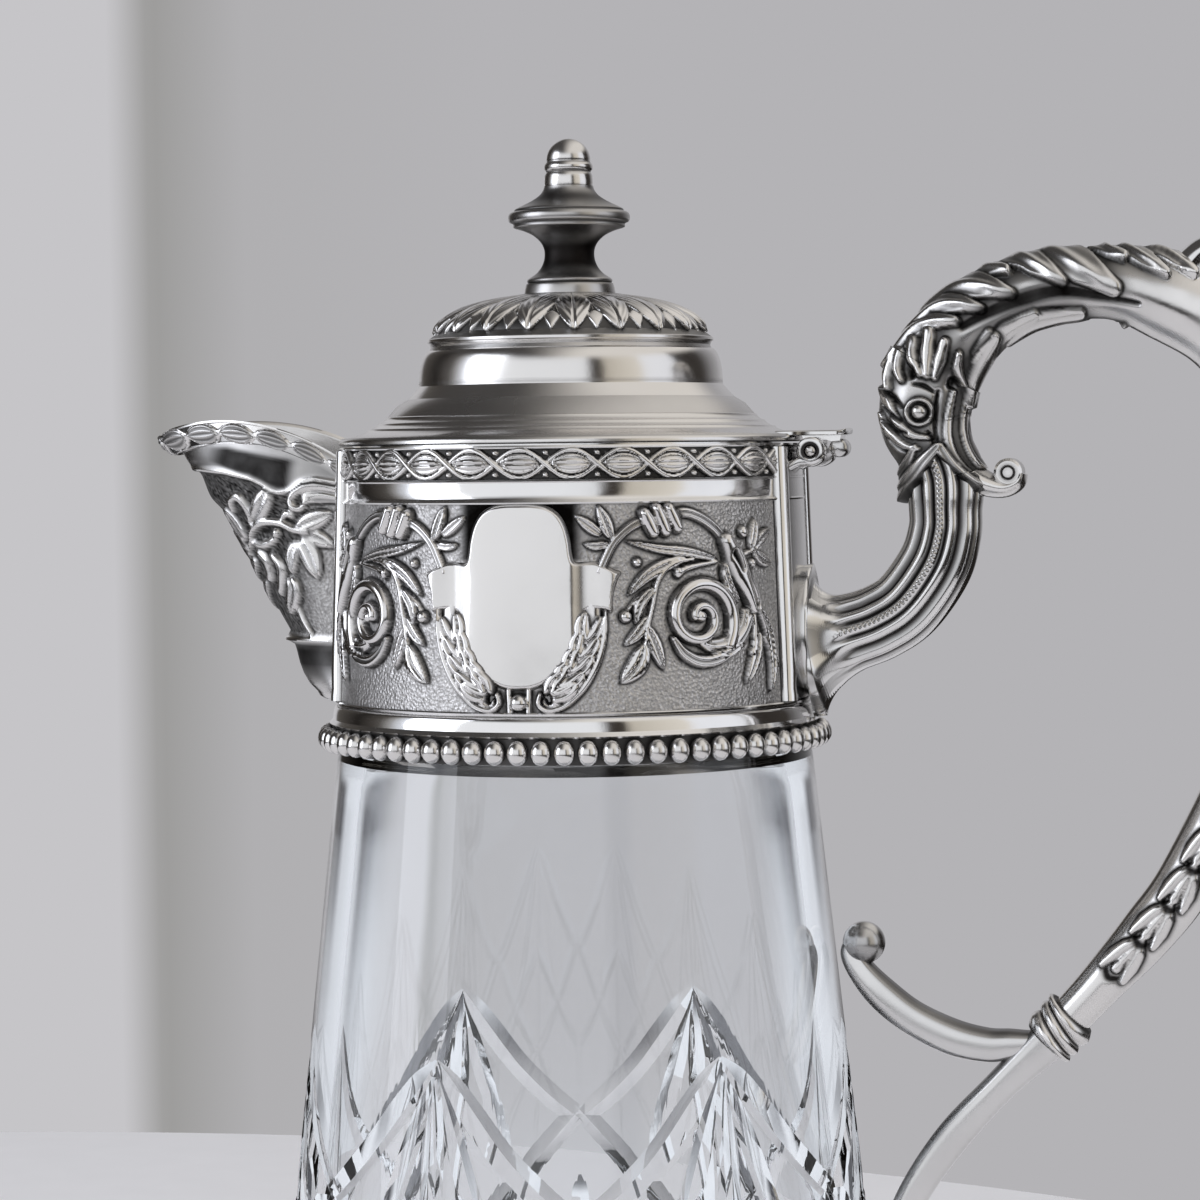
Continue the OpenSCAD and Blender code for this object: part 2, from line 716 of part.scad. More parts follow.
module baluster_outline() {
    h = baluster_h;
    r = disc_d / 2;
    f = foot_d / 2;
    polygon([
        [0, 0], [f, 0], [f, 0.115 * h], [f - 0.5, 0.13 * h], [f - 0.4, 0.16 * h], [f - 1.4, 0.2 * h],
        [f - 2.7, 0.245 * h], [f - 3.6, 0.3 * h], [f - 3.85, 0.36 * h], [f - 3.8, 0.42 * h],
        [r * 0.45, 0.47 * h], [r * 0.54, 0.52 * h], [r * 0.71, 0.57 * h], [r * 0.89, 0.615 * h],
        [r * 0.94, 0.64 * h], [r * 0.93, 0.665 * h], [r * 0.98, 0.685 * h], [r, 0.72 * h],
        [r * 0.98, 0.755 * h], [r * 0.92, 0.775 * h], [r * 0.9, 0.79 * h], [r * 0.78, 0.84 * h],
        [r * 0.58, 0.895 * h], [r * 0.45, 0.95 * h], [button_d / 2, h], [0, h]
    ]);
}

module finial_baluster() {
    color("silver")
        translate([0, 0, baluster_z])
            difference() {
                rotate_extrude()
                    baluster_outline();
                translate([0, 0, -1])
                    cylinder(r = stud_d / 2 + stud_fit, h = baluster_h + 2);
            }
}

module finial_button() {
    r = button_d / 2;
    dome_r = 0.91 * r;
    dome_z = button_h - dome_r;
    color("silver")
        translate([0, 0, button_z])
            difference() {
                union() {
                    translate([0, 0, dome_z])
                        sphere(r = dome_r);
                    rotate_extrude()
                        polygon([
                            [0, 0], [r, 0], [r, 0.26 * button_h], [r * 0.9, 0.3 * button_h],
                            [r, 0.34 * button_h], [r * 0.96, 0.46 * button_h], [r * 0.85, 0.49 * button_h],
                            [dome_r, dome_z], [0, dome_z]
                        ]);
                }
                translate([0, 0, -1])
                    cylinder(r = stud_d / 2 + stud_fit, h = button_h * 0.5 + 1.3);
            }
}

module finial_stud() {
    color("gray")
        translate([0, 0, stud_foot])
            cylinder(r = stud_d / 2, h = stud_top - stud_foot);
}

module finial_washer() {
    color("lightgray")
        translate([0, 0, lid_top - lid_wall - washer_t - seat])
            difference() {
                cylinder(r = stud_d + 1, h = washer_t);
                translate([0, 0, -1])
                    cylinder(r = stud_d / 2 + stud_fit, h = washer_t + 2);
            }
}

module finial_nut() {
    color("gray")
        translate([0, 0, lid_top - lid_wall - washer_t - nut_h - 2 * seat])
            difference() {
                cylinder(r = stud_d * 1.06, h = nut_h, $fn = 6);
                translate([0, 0, -1])
                    cylinder(r = stud_d / 2 + stud_fit, h = nut_h + 2);
            }
}

// Handle

// Stations of the handle's middle line: x, z, half the thickness, half the width.
// They are placed by shares of the way out to the grip and up to the arch or down to
// the knot.
function rising(across, up) = [mix(plate_x, grip_x, across), mix(socket_z, arch_z, up)];
function falling(across, down) = [mix(plate_x, grip_x, across), mix(arch_z, knot_z, down)];
function near_knot(x, z) = [knot_x + x, knot_z + z];
function near_glass(gap, z) = [flank_r(z) + gap, z];
function station(p, t, w) = [p[0], p[1], t + handle_swell, w + handle_swell];
stations = [
    station(rising(-0.04, 0), 11.5, 8.4),
    station(rising(0, 0), 10.8, 8.4),
    station(rising(0.04, 0.009), 8.5, 7.2),
    station(rising(0.0815, 0.025), 7.3, 6.4),
    station(rising(0.142, 0.054), 7.1, 6.2),
    station(rising(0.203, 0.108), 7, 6.2),
    station(rising(0.265, 0.223), 7, 6.3),
    station(rising(0.285, 0.377), 6.9, 6.4),
    station(rising(0.282, 0.466), 7.6, 6.8),
    station(rising(0.263, 0.543), 7.3, 6.8),
    station(rising(0.242, 0.62), 8.3, 7),
    station(rising(0.246, 0.697), 8.5, 7.2),
    station(rising(0.266, 0.774), 8.4, 7.2),
    station(rising(0.323, 0.877), 8, 7.2),
    station(rising(0.406, 0.954), 7.5, 7.2),
    station(rising(0.509, 0.996), 7.2, 7.2),
    station(rising(0.652, 1), 7.1, 7.4),
    station(falling(0.785, 0.026), 8.2, 7.8),
    station(falling(0.879, 0.068), 8, 7.6),
    station(falling(0.951, 0.139), 7.5, 7.2),
    station(falling(1.003, 0.274), 6.7, 6.6),
    station(falling(0.998, 0.427), 6.3, 6.1),
    station(falling(0.933, 0.606), 5.8, 5.8),
    station(falling(0.798, 0.785), 5.4, 5.2),
    station(near_knot(16.5, 18.6), 5.1, 4.8),
    station(near_knot(7.9, 8.7), 4.2, 4.3),
    station(near_knot(2.4, 2.6), 3.9, 4),
    station(near_knot(-2.4, -2.6), 3.7, 3.8),
    station(near_knot(-10.9, -11), 3, 3.4),
    station(near_knot(-19.5, -20.4), 3.2, 3.2),
    station(near_glass(11.5, knot_z - 29.7), 3, 3),
    station(near_glass(6.4, knot_z - 38.3), 2.7, 2.8),
    station(near_glass(4.2, knot_z - 45.7), 2.4, 2.5),
    station(near_glass(5, knot_z - 51), 2.2, 2.4),
    station(near_glass(7.7, knot_z - 54.6), 2.1, 2.3),
    station(near_glass(11.7, knot_z - 54.2), 2, 2.2),
    station(near_glass(13.8, knot_z - 50.6), 1.9, 2.1),
    station(near_glass(11.8, knot_z - 47.6), 1.8, 2),
    station(near_glass(9.3, knot_z - 48.8), 1.7, 2)
];
line_steps = 2;
line = smooth(stations, line_steps);
knot_dir = unit([-4.8, -5.2]);

function line_dir(path, i) =
    let (a = path[max(i - 1, 0)], b = path[min(i + 1, len(path) - 1)])
    unit([b[0] - a[0], b[1] - a[1]]);

// Ring of points round a station, square to dir, with flutes of the given depth
function bar_ring(p, dir, sides, flutes, depth) = [
    for (k = [0:sides - 1])
        let (a = 360 * k / sides, cut = depth * (1 - cos(flutes * a)) / 2)
        let (across = (p[2] - cut) * cos(a), wide = (p[3] - cut) * sin(a))
        [p[0] - across * dir[1], wide, p[1] + across * dir[0]]
];

// Bar along part of the middle line, from one station to another
module handle_bar(from, to, sides, from_dir, to_dir) {
    i0 = from * line_steps;
    i1 = to * line_steps;
    skin([
        for (i = [i0:i1])
            let (dir = i == i0 && from_dir ? from_dir : i == i1 && to_dir ? to_dir : line_dir(line, i))
            bar_ring(line[i], dir, sides, 0, 0)
    ], wrap = true, ring = false);
}

module handle_mount_plate() {
    half_h = 12.1;
    half_w = 9.4;
    plate_z = frieze_foot + 0.3 + half_h;
    color("silver")
        difference() {
            translate([wall_x - 8, 0, plate_z])
                rotate([90, 0, 90])
                    linear_extrude(height = plate_x - wall_x + 8)
                        polygon([for (a = [0:15:345]) [half_w * cos(a), half_h * sin(a)]]);
            ground(frieze_foot - 5, collar_top);
        }
}

module handle_socket() {
    i1 = 7 * line_steps;
    i0 = line_steps;
    color("silver")
        skin([
            for (i = [i0:i1])
                let (dir = i == i0 ? [1, 0] : line_dir(line, i))
                let (fade = min(1, (i - i0) / 3))
                bar_ring(line[i], dir, 32, 8, flute_depth * fade)
        ], wrap = true, ring = false);
}

module handle_leaf_collar() {
    i0 = 7 * line_steps;
    i1 = 8 * line_steps;
    color("gainsboro")
        skin([
            for (t = [0, 0.15, 0.5, 1])
                let (p = mix(line[i0], line[i1], t), swell = 2 * pow(1 - t, 2))
                let (dir = unit(mix(line_dir(line, i0), line_dir(line, i1), t)))
                bar_ring([p[0], p[1], p[2] + swell, p[3] + swell * 0.8], dir, 20, 5, 0.8 * (1 - t))
        ], wrap = true, ring = false);
}

module handle_head() {
    eye = rising(0.234, 0.652);
    roll = rising(0.42, 0.478);
    beak = [
        [0.308, 0.511], [0.372, 0.506], [0.386, 0.455], [0.394, 0.412], [0.416, 0.415], [0.438, 0.44],
        [0.422, 0.485], [0.395, 0.486], [0.369, 0.52], [0.342, 0.569], [0.308, 0.569]
    ];
    color("silver")
        union() {
            handle_bar(8, 12, 20);
            for (s = [-1, 1])
                translate([eye[0], s * 6.2, eye[1]])
                    rotate([-s * 90, 0, 0]) {
                        cylinder(r = 2.1, h = 1.6);
                        translate([0, 0, 1.4])
                            sphere(r = 1.2);
                    }
            translate([0, 4, 0])
                rotate([90, 0, 0])
                    linear_extrude(height = 8)
                        polygon([for (p = beak) rising(p[0], p[1])]);
            translate([roll[0], 4.3, roll[1]])
                rotate([90, 0, 0])
                    cylinder(r = 2.5, h = 8.6);
        }
}

module handle_arch() {
    scroll = [
        concat(rising(0.785, 1.03), [2.6, 4]), concat(rising(0.825, 1.092), [2.4, 3.8]),
        concat(rising(0.877, 1.115), [2.1, 3.6]), concat(rising(0.918, 1.083), [1.8, 3.4]),
        concat(rising(0.913, 1.037), [1.6, 3.2])
    ];
    curl = smooth(scroll, 3);
    color("silver")
        union() {
            handle_bar(12, 18, 20);
            skin([for (i = [0:len(curl) - 1]) bar_ring(curl[i], line_dir(curl, i), 12, 0, 0)],
                wrap = true, ring = false);
        }
}

module handle_grip() {
    color("silver") handle_bar(18, 26, 20, false, knot_dir);
}

module handle_knot() {
    a = stations[26];
    b = stations[27];
    len_k = norm([b[0] - a[0], b[1] - a[1]]);
    r = a[2] + 0.9;
    lean = atan2(knot_dir[0], knot_dir[1]);
    color("silver")
        translate([a[0], 0, a[1]])
            rotate([0, lean, 0])
                rotate_extrude()
                    polygon([
                        [0, 0], [r - 0.4, 0], [r, 0.1 * len_k], [r, 0.2 * len_k], [r - 0.8, 0.33 * len_k],
                        [r + 0.3, 0.4 * len_k], [r + 0.3, 0.6 * len_k], [r - 0.8, 0.67 * len_k],
                        [r, 0.8 * len_k], [r, 0.9 * len_k], [r - 0.4, len_k], [0, len_k]
                    ]);
}

module handle_fork() {
    spur_stations = [
        concat(near_knot(-5.1, -2.8), [1.9, 3]),
        concat(near_knot(-9.1, -3.2), [2.7, 3.3]),
        concat(near_knot(-13.6, -3.5), [3.2, 3.4]),
        concat(near_knot(-19.9, -2.2), [3.3, 3.4]),
        concat(near_glass(13.7, knot_z + 1.3), [3.1, 3.2]),
        concat(near_glass(8.6, knot_z + 5.6), [3, 3]),
        concat(near_glass(5.1, knot_z + 9.9), [2.5, 2.7]),
        concat(near_glass(3.9, knot_z + 13.4), [2, 2.4]),
        concat(near_glass(5, knot_z + 15.4), [1.6, 2])
    ];
    spur = smooth(spur_stations, 2);
    ball = near_glass(6.1, knot_z + 15.3);
    color("silver")
        union() {
            handle_bar(27, 38, 14, knot_dir);
            skin([for (i = [0:len(spur) - 1]) bar_ring(spur[i], line_dir(spur, i), 14, 0, 0)],
                wrap = true, ring = false);
            translate([ball[0], 0, ball[1]])
                sphere(r = 4);
        }
}

glass_body();
plaster_bed();
collar_shell();
collar_leaf_band();
collar_bezel();
bead_border();
cartouche_front();
cartouche_back();
spout_shell();
spout_leaf_border();
spout_side_wires();
handle_side_wires();
hinge_bracket();
hinge_pin();
hinge_leaf();
handle_mount_plate();
handle_socket();
handle_leaf_collar();
handle_head();
handle_arch();
handle_grip();
handle_knot();
handle_fork();
lid_shell();
lid_leaf_dome();
lid_bezel();
finial_baluster();
finial_button();
finial_stud();
finial_washer();
finial_nut();
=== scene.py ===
import math

import bmesh
import bpy
import numpy as np
from mathutils import Matrix, Vector


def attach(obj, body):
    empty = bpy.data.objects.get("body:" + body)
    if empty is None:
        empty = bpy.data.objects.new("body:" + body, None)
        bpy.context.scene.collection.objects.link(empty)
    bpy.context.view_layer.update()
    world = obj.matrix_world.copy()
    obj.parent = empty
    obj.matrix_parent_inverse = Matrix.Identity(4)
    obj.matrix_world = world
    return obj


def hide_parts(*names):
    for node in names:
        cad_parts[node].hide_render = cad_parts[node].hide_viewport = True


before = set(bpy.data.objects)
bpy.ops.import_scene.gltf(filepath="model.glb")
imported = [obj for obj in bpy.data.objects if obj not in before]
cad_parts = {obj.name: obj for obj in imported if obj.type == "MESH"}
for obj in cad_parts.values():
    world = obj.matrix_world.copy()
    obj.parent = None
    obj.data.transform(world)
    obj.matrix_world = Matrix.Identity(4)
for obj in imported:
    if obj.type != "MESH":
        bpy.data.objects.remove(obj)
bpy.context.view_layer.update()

rng = np.random.default_rng(7)
mm = 0.001
pi = math.pi


# Camera

cameraLook = {
    "azimuth": 12.7,  # degrees towards the handle
    "distance": 665,  # mm from the jug's middle line
    "height": 230.15,
    "yaw": 0.434,
    "pitch": 2.372,
    "roll": 0.65,
    "lens": 105,
}


def makeCamera(look):
    turn, yaw, pitch, roll = (math.radians(look[k]) for k in ("azimuth", "yaw", "pitch", "roll"))
    place = Vector((look["distance"] * math.sin(turn), -look["distance"] * math.cos(turn),
                    look["height"])) * mm
    ahead = Vector((-math.sin(turn), math.cos(turn), 0))
    right = Vector((math.cos(turn), math.sin(turn), 0))
    c, s = math.cos(yaw), math.sin(yaw)
    ahead, right = ahead * c + right * s, right * c - ahead * s
    up = Vector((0, 0, 1))
    ahead, up = ahead * math.cos(pitch) - up * math.sin(pitch), up * math.cos(pitch) + ahead * math.sin(pitch)
    right, up = right * math.cos(roll) - up * math.sin(roll), up * math.cos(roll) + right * math.sin(roll)
    data = bpy.data.cameras.new("camera")
    data.lens = look["lens"]
    data.sensor_width = 36
    data.clip_start = 0.01
    camera = bpy.data.objects.new("camera", data)
    bpy.context.collection.objects.link(camera)
    camera.matrix_world = Matrix.Translation(place) @ Matrix((right, up, -ahead)).transposed().to_4x4()
    bpy.context.scene.camera = camera


makeCamera(cameraLook)
print("camera made")


# Materials

def toLinear(code):
    parts = [int(code[i:i + 2], 16) / 255 for i in (1, 3, 5)]
    return [c / 12.92 if c <= 0.04045 else ((c + 0.055) / 1.055) ** 2.4 for c in parts] + [1.0]


def addNode(tree, kind, settings=None, inputs=None):
    node = tree.nodes.new("ShaderNode" + kind)
    for key, value in (settings or {}).items():
        setattr(node, key, value)
    for key, value in (inputs or {}).items():
        if isinstance(value, bpy.types.NodeSocket):
            tree.links.new(value, node.inputs[key])
        else:
            node.inputs[key].default_value = value
    return node


def newMaterial(name):
    material = bpy.data.materials.new(name)
    material.use_nodes = True
    tree = material.node_tree
    tree.nodes.clear()
    return material, tree, addNode(tree, "TexCoord").outputs["Object"]


# marks of the ring punch, in mm: drawn a little coarser than the real ones, so that they show
ringPunch = {"cell": 0.62, "depth": 0.16, "roughness": 0.22}


def makeSilver(look):
    material, tree, place = newMaterial(look["name"])
    # this attribute darkens and roughens the silver: real tarnish and oxide, and painted shade in creases,
    # hollows and on the shaded sides of parts
    tarnishAndShade = addNode(tree, "Attribute", {"attribute_name": "tarnishAndShade"}).outputs["Fac"]
    matt = addNode(tree, "Attribute", {"attribute_name": "matt"}).outputs["Fac"]
    smear = addNode(tree, "TexNoise", None,
                    {"Vector": place, "Scale": 1000 / look["smearSize"], "Detail": 3.0})
    grain = addNode(tree, "TexNoise", None,
                    {"Vector": place, "Scale": 1000 / look["grainSize"], "Detail": 2.0})
    uneven = addNode(tree, "Math", {"operation": "MULTIPLY_ADD"},
                     {0: smear.outputs["Fac"], 1: look["patchiness"], 2: -0.5 * look["patchiness"]})
    total = addNode(tree, "Math", {"operation": "ADD", "use_clamp": True},
                    {0: uneven.outputs[0], 1: tarnishAndShade})
    colour = addNode(tree, "Mix", {"data_type": "RGBA"},
                     {"Factor": total.outputs[0], "A": toLinear(look["silver"]), "B": toLinear(look["dark"])})
    soft = addNode(tree, "MapRange", None,
                   {"Value": smear.outputs["Fac"], "From Min": 0.3, "From Max": 0.7,
                    "To Min": look["gloss"][0], "To Max": look["gloss"][1]})
    rough = addNode(tree, "Math", {"operation": "MULTIPLY_ADD"},
                    {0: total.outputs[0], 1: look["darkRoughness"], 2: soft.outputs["Result"]})
    dulled = addNode(tree, "Math", {"operation": "MULTIPLY_ADD"},
                     {0: matt, 1: ringPunch["roughness"], 2: rough.outputs[0]})
    bump = addNode(tree, "Bump", None,
                   {"Height": grain.outputs["Fac"], "Strength": look["grainStrength"],
                    "Distance": look["grainDepth"] * mm})
    # ring punch marks, only where the matt attribute asks for them
    punch = addNode(tree, "TexVoronoi", None, {"Vector": place, "Scale": 1000 / ringPunch["cell"]})
    pitted = addNode(tree, "Bump", None,
                     {"Height": punch.outputs["Distance"], "Strength": matt,
                      "Distance": ringPunch["depth"] * mm,
                      "Normal": bump.outputs["Normal"]})
    shader = addNode(tree, "BsdfPrincipled", None,
                     {"Base Color": colour.outputs["Result"], "Roughness": dulled.outputs[0],
                      "Normal": pitted.outputs["Normal"], "Metallic": 1.0})
    addNode(tree, "OutputMaterial", None, {"Surface": shader.outputs[0]})
    return material


# Sterling silver, hand polished: mirror bright with a soft haze of old wear
polishedSilver = makeSilver({
    "name": "polished_sterling_silver", "silver": "#ECEBEA", "dark": "#282423",
    "smearSize": 12, "grainSize": 1.4, "patchiness": 0.22, "gloss": (0.08, 0.16),
    "darkRoughness": 0.3, "grainStrength": 0.12, "grainDepth": 0.05,
})
# Sterling silver, spun and worn: a satin skin that blurs what it reflects
spunSilver = makeSilver({
    "name": "worn_spun_silver", "silver": "#E6E4E2", "dark": "#1E1B1A",
    "smearSize": 16, "grainSize": 1.2, "patchiness": 0.16, "gloss": (0.14, 0.24),
    "darkRoughness": 0.3, "grainStrength": 0.15, "grainDepth": 0.05,
})
# Sterling silver, cast and chased: bright tops, and hollows left dark by oxide and by painted shade
chasedSilver = makeSilver({
    "name": "oxidised_chased_silver", "silver": "#E8E6E4", "dark": "#110F0E",
    "smearSize": 6, "grainSize": 0.9, "patchiness": 0.16, "gloss": (0.15, 0.24),
    "darkRoughness": 0.3, "grainStrength": 0.2, "grainDepth": 0.06,
})
# Sterling silver, matted with a ring punch: a grey ground that scatters the light
mattedSilver = makeSilver({
    "name": "matted_silver_ground", "silver": "#E6E4E3", "dark": "#110F0E",
    "smearSize": 7, "grainSize": 0.9, "patchiness": 0.14, "gloss": (0.1, 0.18),
    "darkRoughness": 0.3, "grainStrength": 0.2, "grainDepth": 0.06,
})
# Nickel silver, turned and left plain: the screw parts inside the lid
turnedNickel = makeSilver({
    "name": "turned_nickel_silver", "silver": "#CFCBC3", "dark": "#4A443C",
    "smearSize": 4, "grainSize": 0.4, "patchiness": 0.2, "gloss": (0.25, 0.38),
    "darkRoughness": 0.2, "grainStrength": 0.3, "grainDepth": 0.05,
})


def makeCrystal(look):
    material, tree, place = newMaterial(look["name"])
    striae = addNode(tree, "TexNoise", None,
                     {"Vector": place, "Scale": 1000 / look["striaeSize"], "Detail": 1.0})
    wipe = addNode(tree, "MapRange", None,
                   {"Value": striae.outputs["Fac"], "To Min": 0.0, "To Max": look["haze"]})
    bump = addNode(tree, "Bump", None,
                   {"Height": striae.outputs["Fac"], "Strength": look["waviness"],
                    "Distance": look["waveDepth"] * mm})
    shader = addNode(tree, "BsdfPrincipled", None,
                     {"Base Color": toLinear(look["tint"]), "Roughness": wipe.outputs["Result"],
                      "Normal": bump.outputs["Normal"], "Transmission Weight": 1.0, "IOR": look["ior"]})
    addNode(tree, "OutputMaterial", None, {"Surface": shader.outputs[0]})
    return material


# Lead crystal, blown, cut and acid polished: clear, heavy, with bright edges
leadCrystal = makeCrystal({
    "name": "lead_crystal", "tint": "#FBFCFD", "striaeSize": 28, "haze": 0.02,
    "waviness": 0.25, "waveDepth": 0.25, "ior": 1.545,
})


def makePlaster(look):
    material, tree, place = newMaterial(look["name"])
    grit = addNode(tree, "TexNoise", None,
                   {"Vector": place, "Scale": 1000 / look["gritSize"], "Detail": 4.0})
    colour = addNode(tree, "Mix", {"data_type": "RGBA"},
                     {"Factor": grit.outputs["Fac"], "A": toLinear(look["pale"]),
                      "B": toLinear(look["shade"])})
    bump = addNode(tree, "Bump", None,
                   {"Height": grit.outputs["Fac"], "Strength": look["gritStrength"],
                    "Distance": look["gritDepth"] * mm})
    shader = addNode(tree, "BsdfPrincipled", None,
                     {"Base Color": colour.outputs["Result"], "Normal": bump.outputs["Normal"],
                      "Roughness": 0.9})
    addNode(tree, "OutputMaterial", None, {"Surface": shader.outputs[0]})
    return material


# Gypsum plaster, poured and set: chalky and dull
settingPlaster = makePlaster({
    "name": "setting_plaster", "pale": "#D9D4C8", "shade": "#BDB6A6",
    "gritSize": 0.8, "gritStrength": 0.4, "gritDepth": 0.1,
})
print("materials made")


# Meshes: rings of points in millimetres, each ring closed on itself

def addSkin(name, rings, material, wrap=False, tarnishAndShade=None, sharp=55, merge=False, matt=None):
    count, size, _ = rings.shape
    index = np.arange(count * size).reshape(count, size)
    first = index if wrap else index[:-1]
    second = np.roll(index, -1, 0) if wrap else index[1:]
    quads = np.stack([first, np.roll(first, -1, 1), np.roll(second, -1, 1), second], -1).reshape(-1, 4)
    points = rings.reshape(-1, 3)
    corners = points[quads]
    volume = np.einsum("ij,ij->i", corners[:, 0], np.cross(corners[:, 1], corners[:, 2]))
    volume += np.einsum("ij,ij->i", corners[:, 0], np.cross(corners[:, 2], corners[:, 3]))
    faces = quads.tolist()
    if not wrap:
        faces += [index[0, ::-1].tolist(), index[-1].tolist()]
    if volume.sum() < 0:
        faces = [face[::-1] for face in faces]
    mesh = bpy.data.meshes.new(name)
    mesh.from_pydata((points * mm).tolist(), [], faces)
    for title, values in (("tarnishAndShade", tarnishAndShade), ("matt", matt)):
        if values is not None:
            layer = mesh.attributes.new(title, "FLOAT", "POINT")
            layer.data.foreach_set("value", np.clip(values, 0, 1).astype(np.float32).ravel())
    return finishMesh(name, mesh, material, sharp, merge)


def finishMesh(name, mesh, material, sharp=55, merge=False):
    if merge:
        weld(mesh)
    mesh.validate()
    mesh.polygons.foreach_set("use_smooth", [True] * len(mesh.polygons))
    mesh.set_sharp_from_angle(angle=math.radians(sharp))
    mesh.materials.append(material)
    piece = bpy.data.objects.new(name, mesh)
    bpy.context.collection.objects.link(piece)
    return piece


def weld(mesh, gap=0.002 * mm):
    work = bmesh.new()
    work.from_mesh(mesh)
    bmesh.ops.remove_doubles(work, verts=work.verts, dist=gap)
    bmesh.ops.dissolve_degenerate(work, edges=work.edges, dist=gap)
    work.to_mesh(mesh)
    work.free()


def mount(piece, body, finish, *nodes):
    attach(piece, body)
    if nodes:
        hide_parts(*nodes)
    return piece


def cutMesh(body, cutters):
    # the mesh that is left of a body once the cutters have gone through it
    for cutter in cutters:
        cut = body.modifiers.new("cut", "BOOLEAN")
        cut.operation = "DIFFERENCE"
        cut.solver = "MANIFOLD"
        cut.object = cutter
    carved = bpy.data.meshes.new_from_object(body.evaluated_get(bpy.context.evaluated_depsgraph_get()))
    for used in cutters + [body]:
        bpy.data.objects.remove(used)
    return carved


def joinPieces(name, pieces):
    base = pieces[0]
    with bpy.context.temp_override(active_object=base, selected_editable_objects=pieces):
        bpy.ops.object.join()
    base.name = base.data.name = name
    return base


def smoothLine(points, steps):
    p = np.asarray(points, float)
    before, after = np.vstack([p[:1], p[:-2]]), np.vstack([p[2:], p[-1:]])
    a, b = p[:-1], p[1:]
    rows = []
    for k in range(steps):
        t = k / steps
        rows.append(0.5 * (2 * a + (b - before) * t + (2 * before - 5 * a + 4 * b - after) * t * t
                           + (3 * a - 3 * b + after - before) * t ** 3))
    line = np.stack(rows, 1).reshape(-1, p.shape[1])
    return np.vstack([line, p[-1:]])


def ramp(value, low, high):
    t = np.clip((value - low) / (high - low), 0, 1)
    return t * t * (3 - 2 * t)


def roundTop(u):
    return np.sqrt(np.clip(1 - u ** 2, 0, 1))


def ripple(turns):
    return 0.5 + 0.5 * np.cos(2 * pi * turns)


def turned(profile, columns):
    angles = np.arange(columns) * 2 * pi / columns
    profile = np.asarray(profile, float)
    return np.stack([np.outer(np.cos(angles), profile[:, 0]), np.outer(np.sin(angles), profile[:, 0]),
                     np.tile(profile[:, 1], (columns, 1))], -1)


def addTurned(name, profile, material, columns=256, tarnishAndShade=None, sharp=50, merge=False):
    rows = None if tarnishAndShade is None else np.tile(np.asarray(tarnishAndShade, float), (columns, 1))
    return addSkin(name, turned(profile, columns), material, wrap=True, tarnishAndShade=rows, sharp=sharp,
                   merge=merge)


# Relief canvas: a height field in millimetres, x across and z up

def newCanvas(x0, x1, z0, z1, step):
    xs = np.linspace(x0, x1, int(round((x1 - x0) / step)) + 1)
    zs = np.linspace(z0, z1, int(round((z1 - z0) / step)) + 1)
    x, z = np.meshgrid(xs, zs, indexing="ij")
    return {"x": x, "z": z, "xs": xs, "zs": zs, "corner": np.array([x0, z0]), "height": np.zeros(x.shape),
            "oxide": np.zeros(x.shape),
            "stepX": xs[1] - xs[0], "stepZ": zs[1] - zs[0]}


def nearPath(canvas, path, reach):
    steps = np.array([canvas["stepX"], canvas["stepZ"]])
    low = np.clip(np.floor((path.min(0) - reach - canvas["corner"]) / steps).astype(int), 0, None)
    high = np.clip(np.ceil((path.max(0) + reach - canvas["corner"]) / steps).astype(int) + 1, 0,
                   canvas["x"].shape)
    window = (slice(low[0], max(high[0], low[0])), slice(low[1], max(high[1], low[1])))
    x, z = canvas["x"][window], canvas["z"][window]
    gap, side, along = np.full(x.shape, 1e9), np.zeros(x.shape), np.zeros(x.shape)
    lengths = np.hypot(*np.diff(path, axis=0).T)
    starts = np.concatenate([[0], np.cumsum(lengths)])
    for p, q, start, length in zip(path[:-1], path[1:], starts, lengths):
        if length < 1e-6:
            continue
        d = (q - p) / length
        t = np.clip((x - p[0]) * d[0] + (z - p[1]) * d[1], 0, length)
        dx, dz = x - p[0] - t * d[0], z - p[1] - t * d[1]
        near = np.hypot(dx, dz)
        closer = near < gap
        gap = np.where(closer, near, gap)
        side = np.where(closer, d[0] * dz - d[1] * dx, side)
        along = np.where(closer, start + t, along)
    return window, gap, side, along / starts[-1], starts[-1]


def press(canvas, window, gap, width, height, crease=0.0):
    # raises one form out of the canvas, clean on top; its edges and a band along its foot are darkened with
    # oxide and painted shade
    x = gap / np.maximum(width, 0.05)
    ground, oxide = canvas["height"][window], canvas["oxide"][window]
    covers = (x < 1) & (height >= ground)
    foot = 0.98 * np.exp(-(np.clip(gap - width, 0, None) / 0.6) ** 2) * (ground < 0.75 * height.max())
    oxide = np.where(covers, 0.75 * ramp(x, 0.72, 1.0) + crease,
                     np.where(x >= 1, np.maximum(oxide, foot), oxide))
    canvas["oxide"][window] = oxide
    canvas["height"][window] = np.where(covers, height, ground)


def stampTube(canvas, points, radii, rise, edge=0.35, groove=0.0):
    path = smoothLine(points, 6)
    radii = np.atleast_1d(np.asarray(radii, float))
    window, gap, side, along, length = nearPath(canvas, path, radii.max() + 1.2)
    width = np.interp(along, np.linspace(0, 1, len(radii)), radii)
    x = gap / np.maximum(width, 0.05)
    height = rise * (edge + (1 - edge) * roundTop(x))
    line = np.exp(-(gap / (0.22 * width + 0.05)) ** 2) if groove else 0 * gap
    press(canvas, window, gap, width, height - groove * line, 0.7 * line)


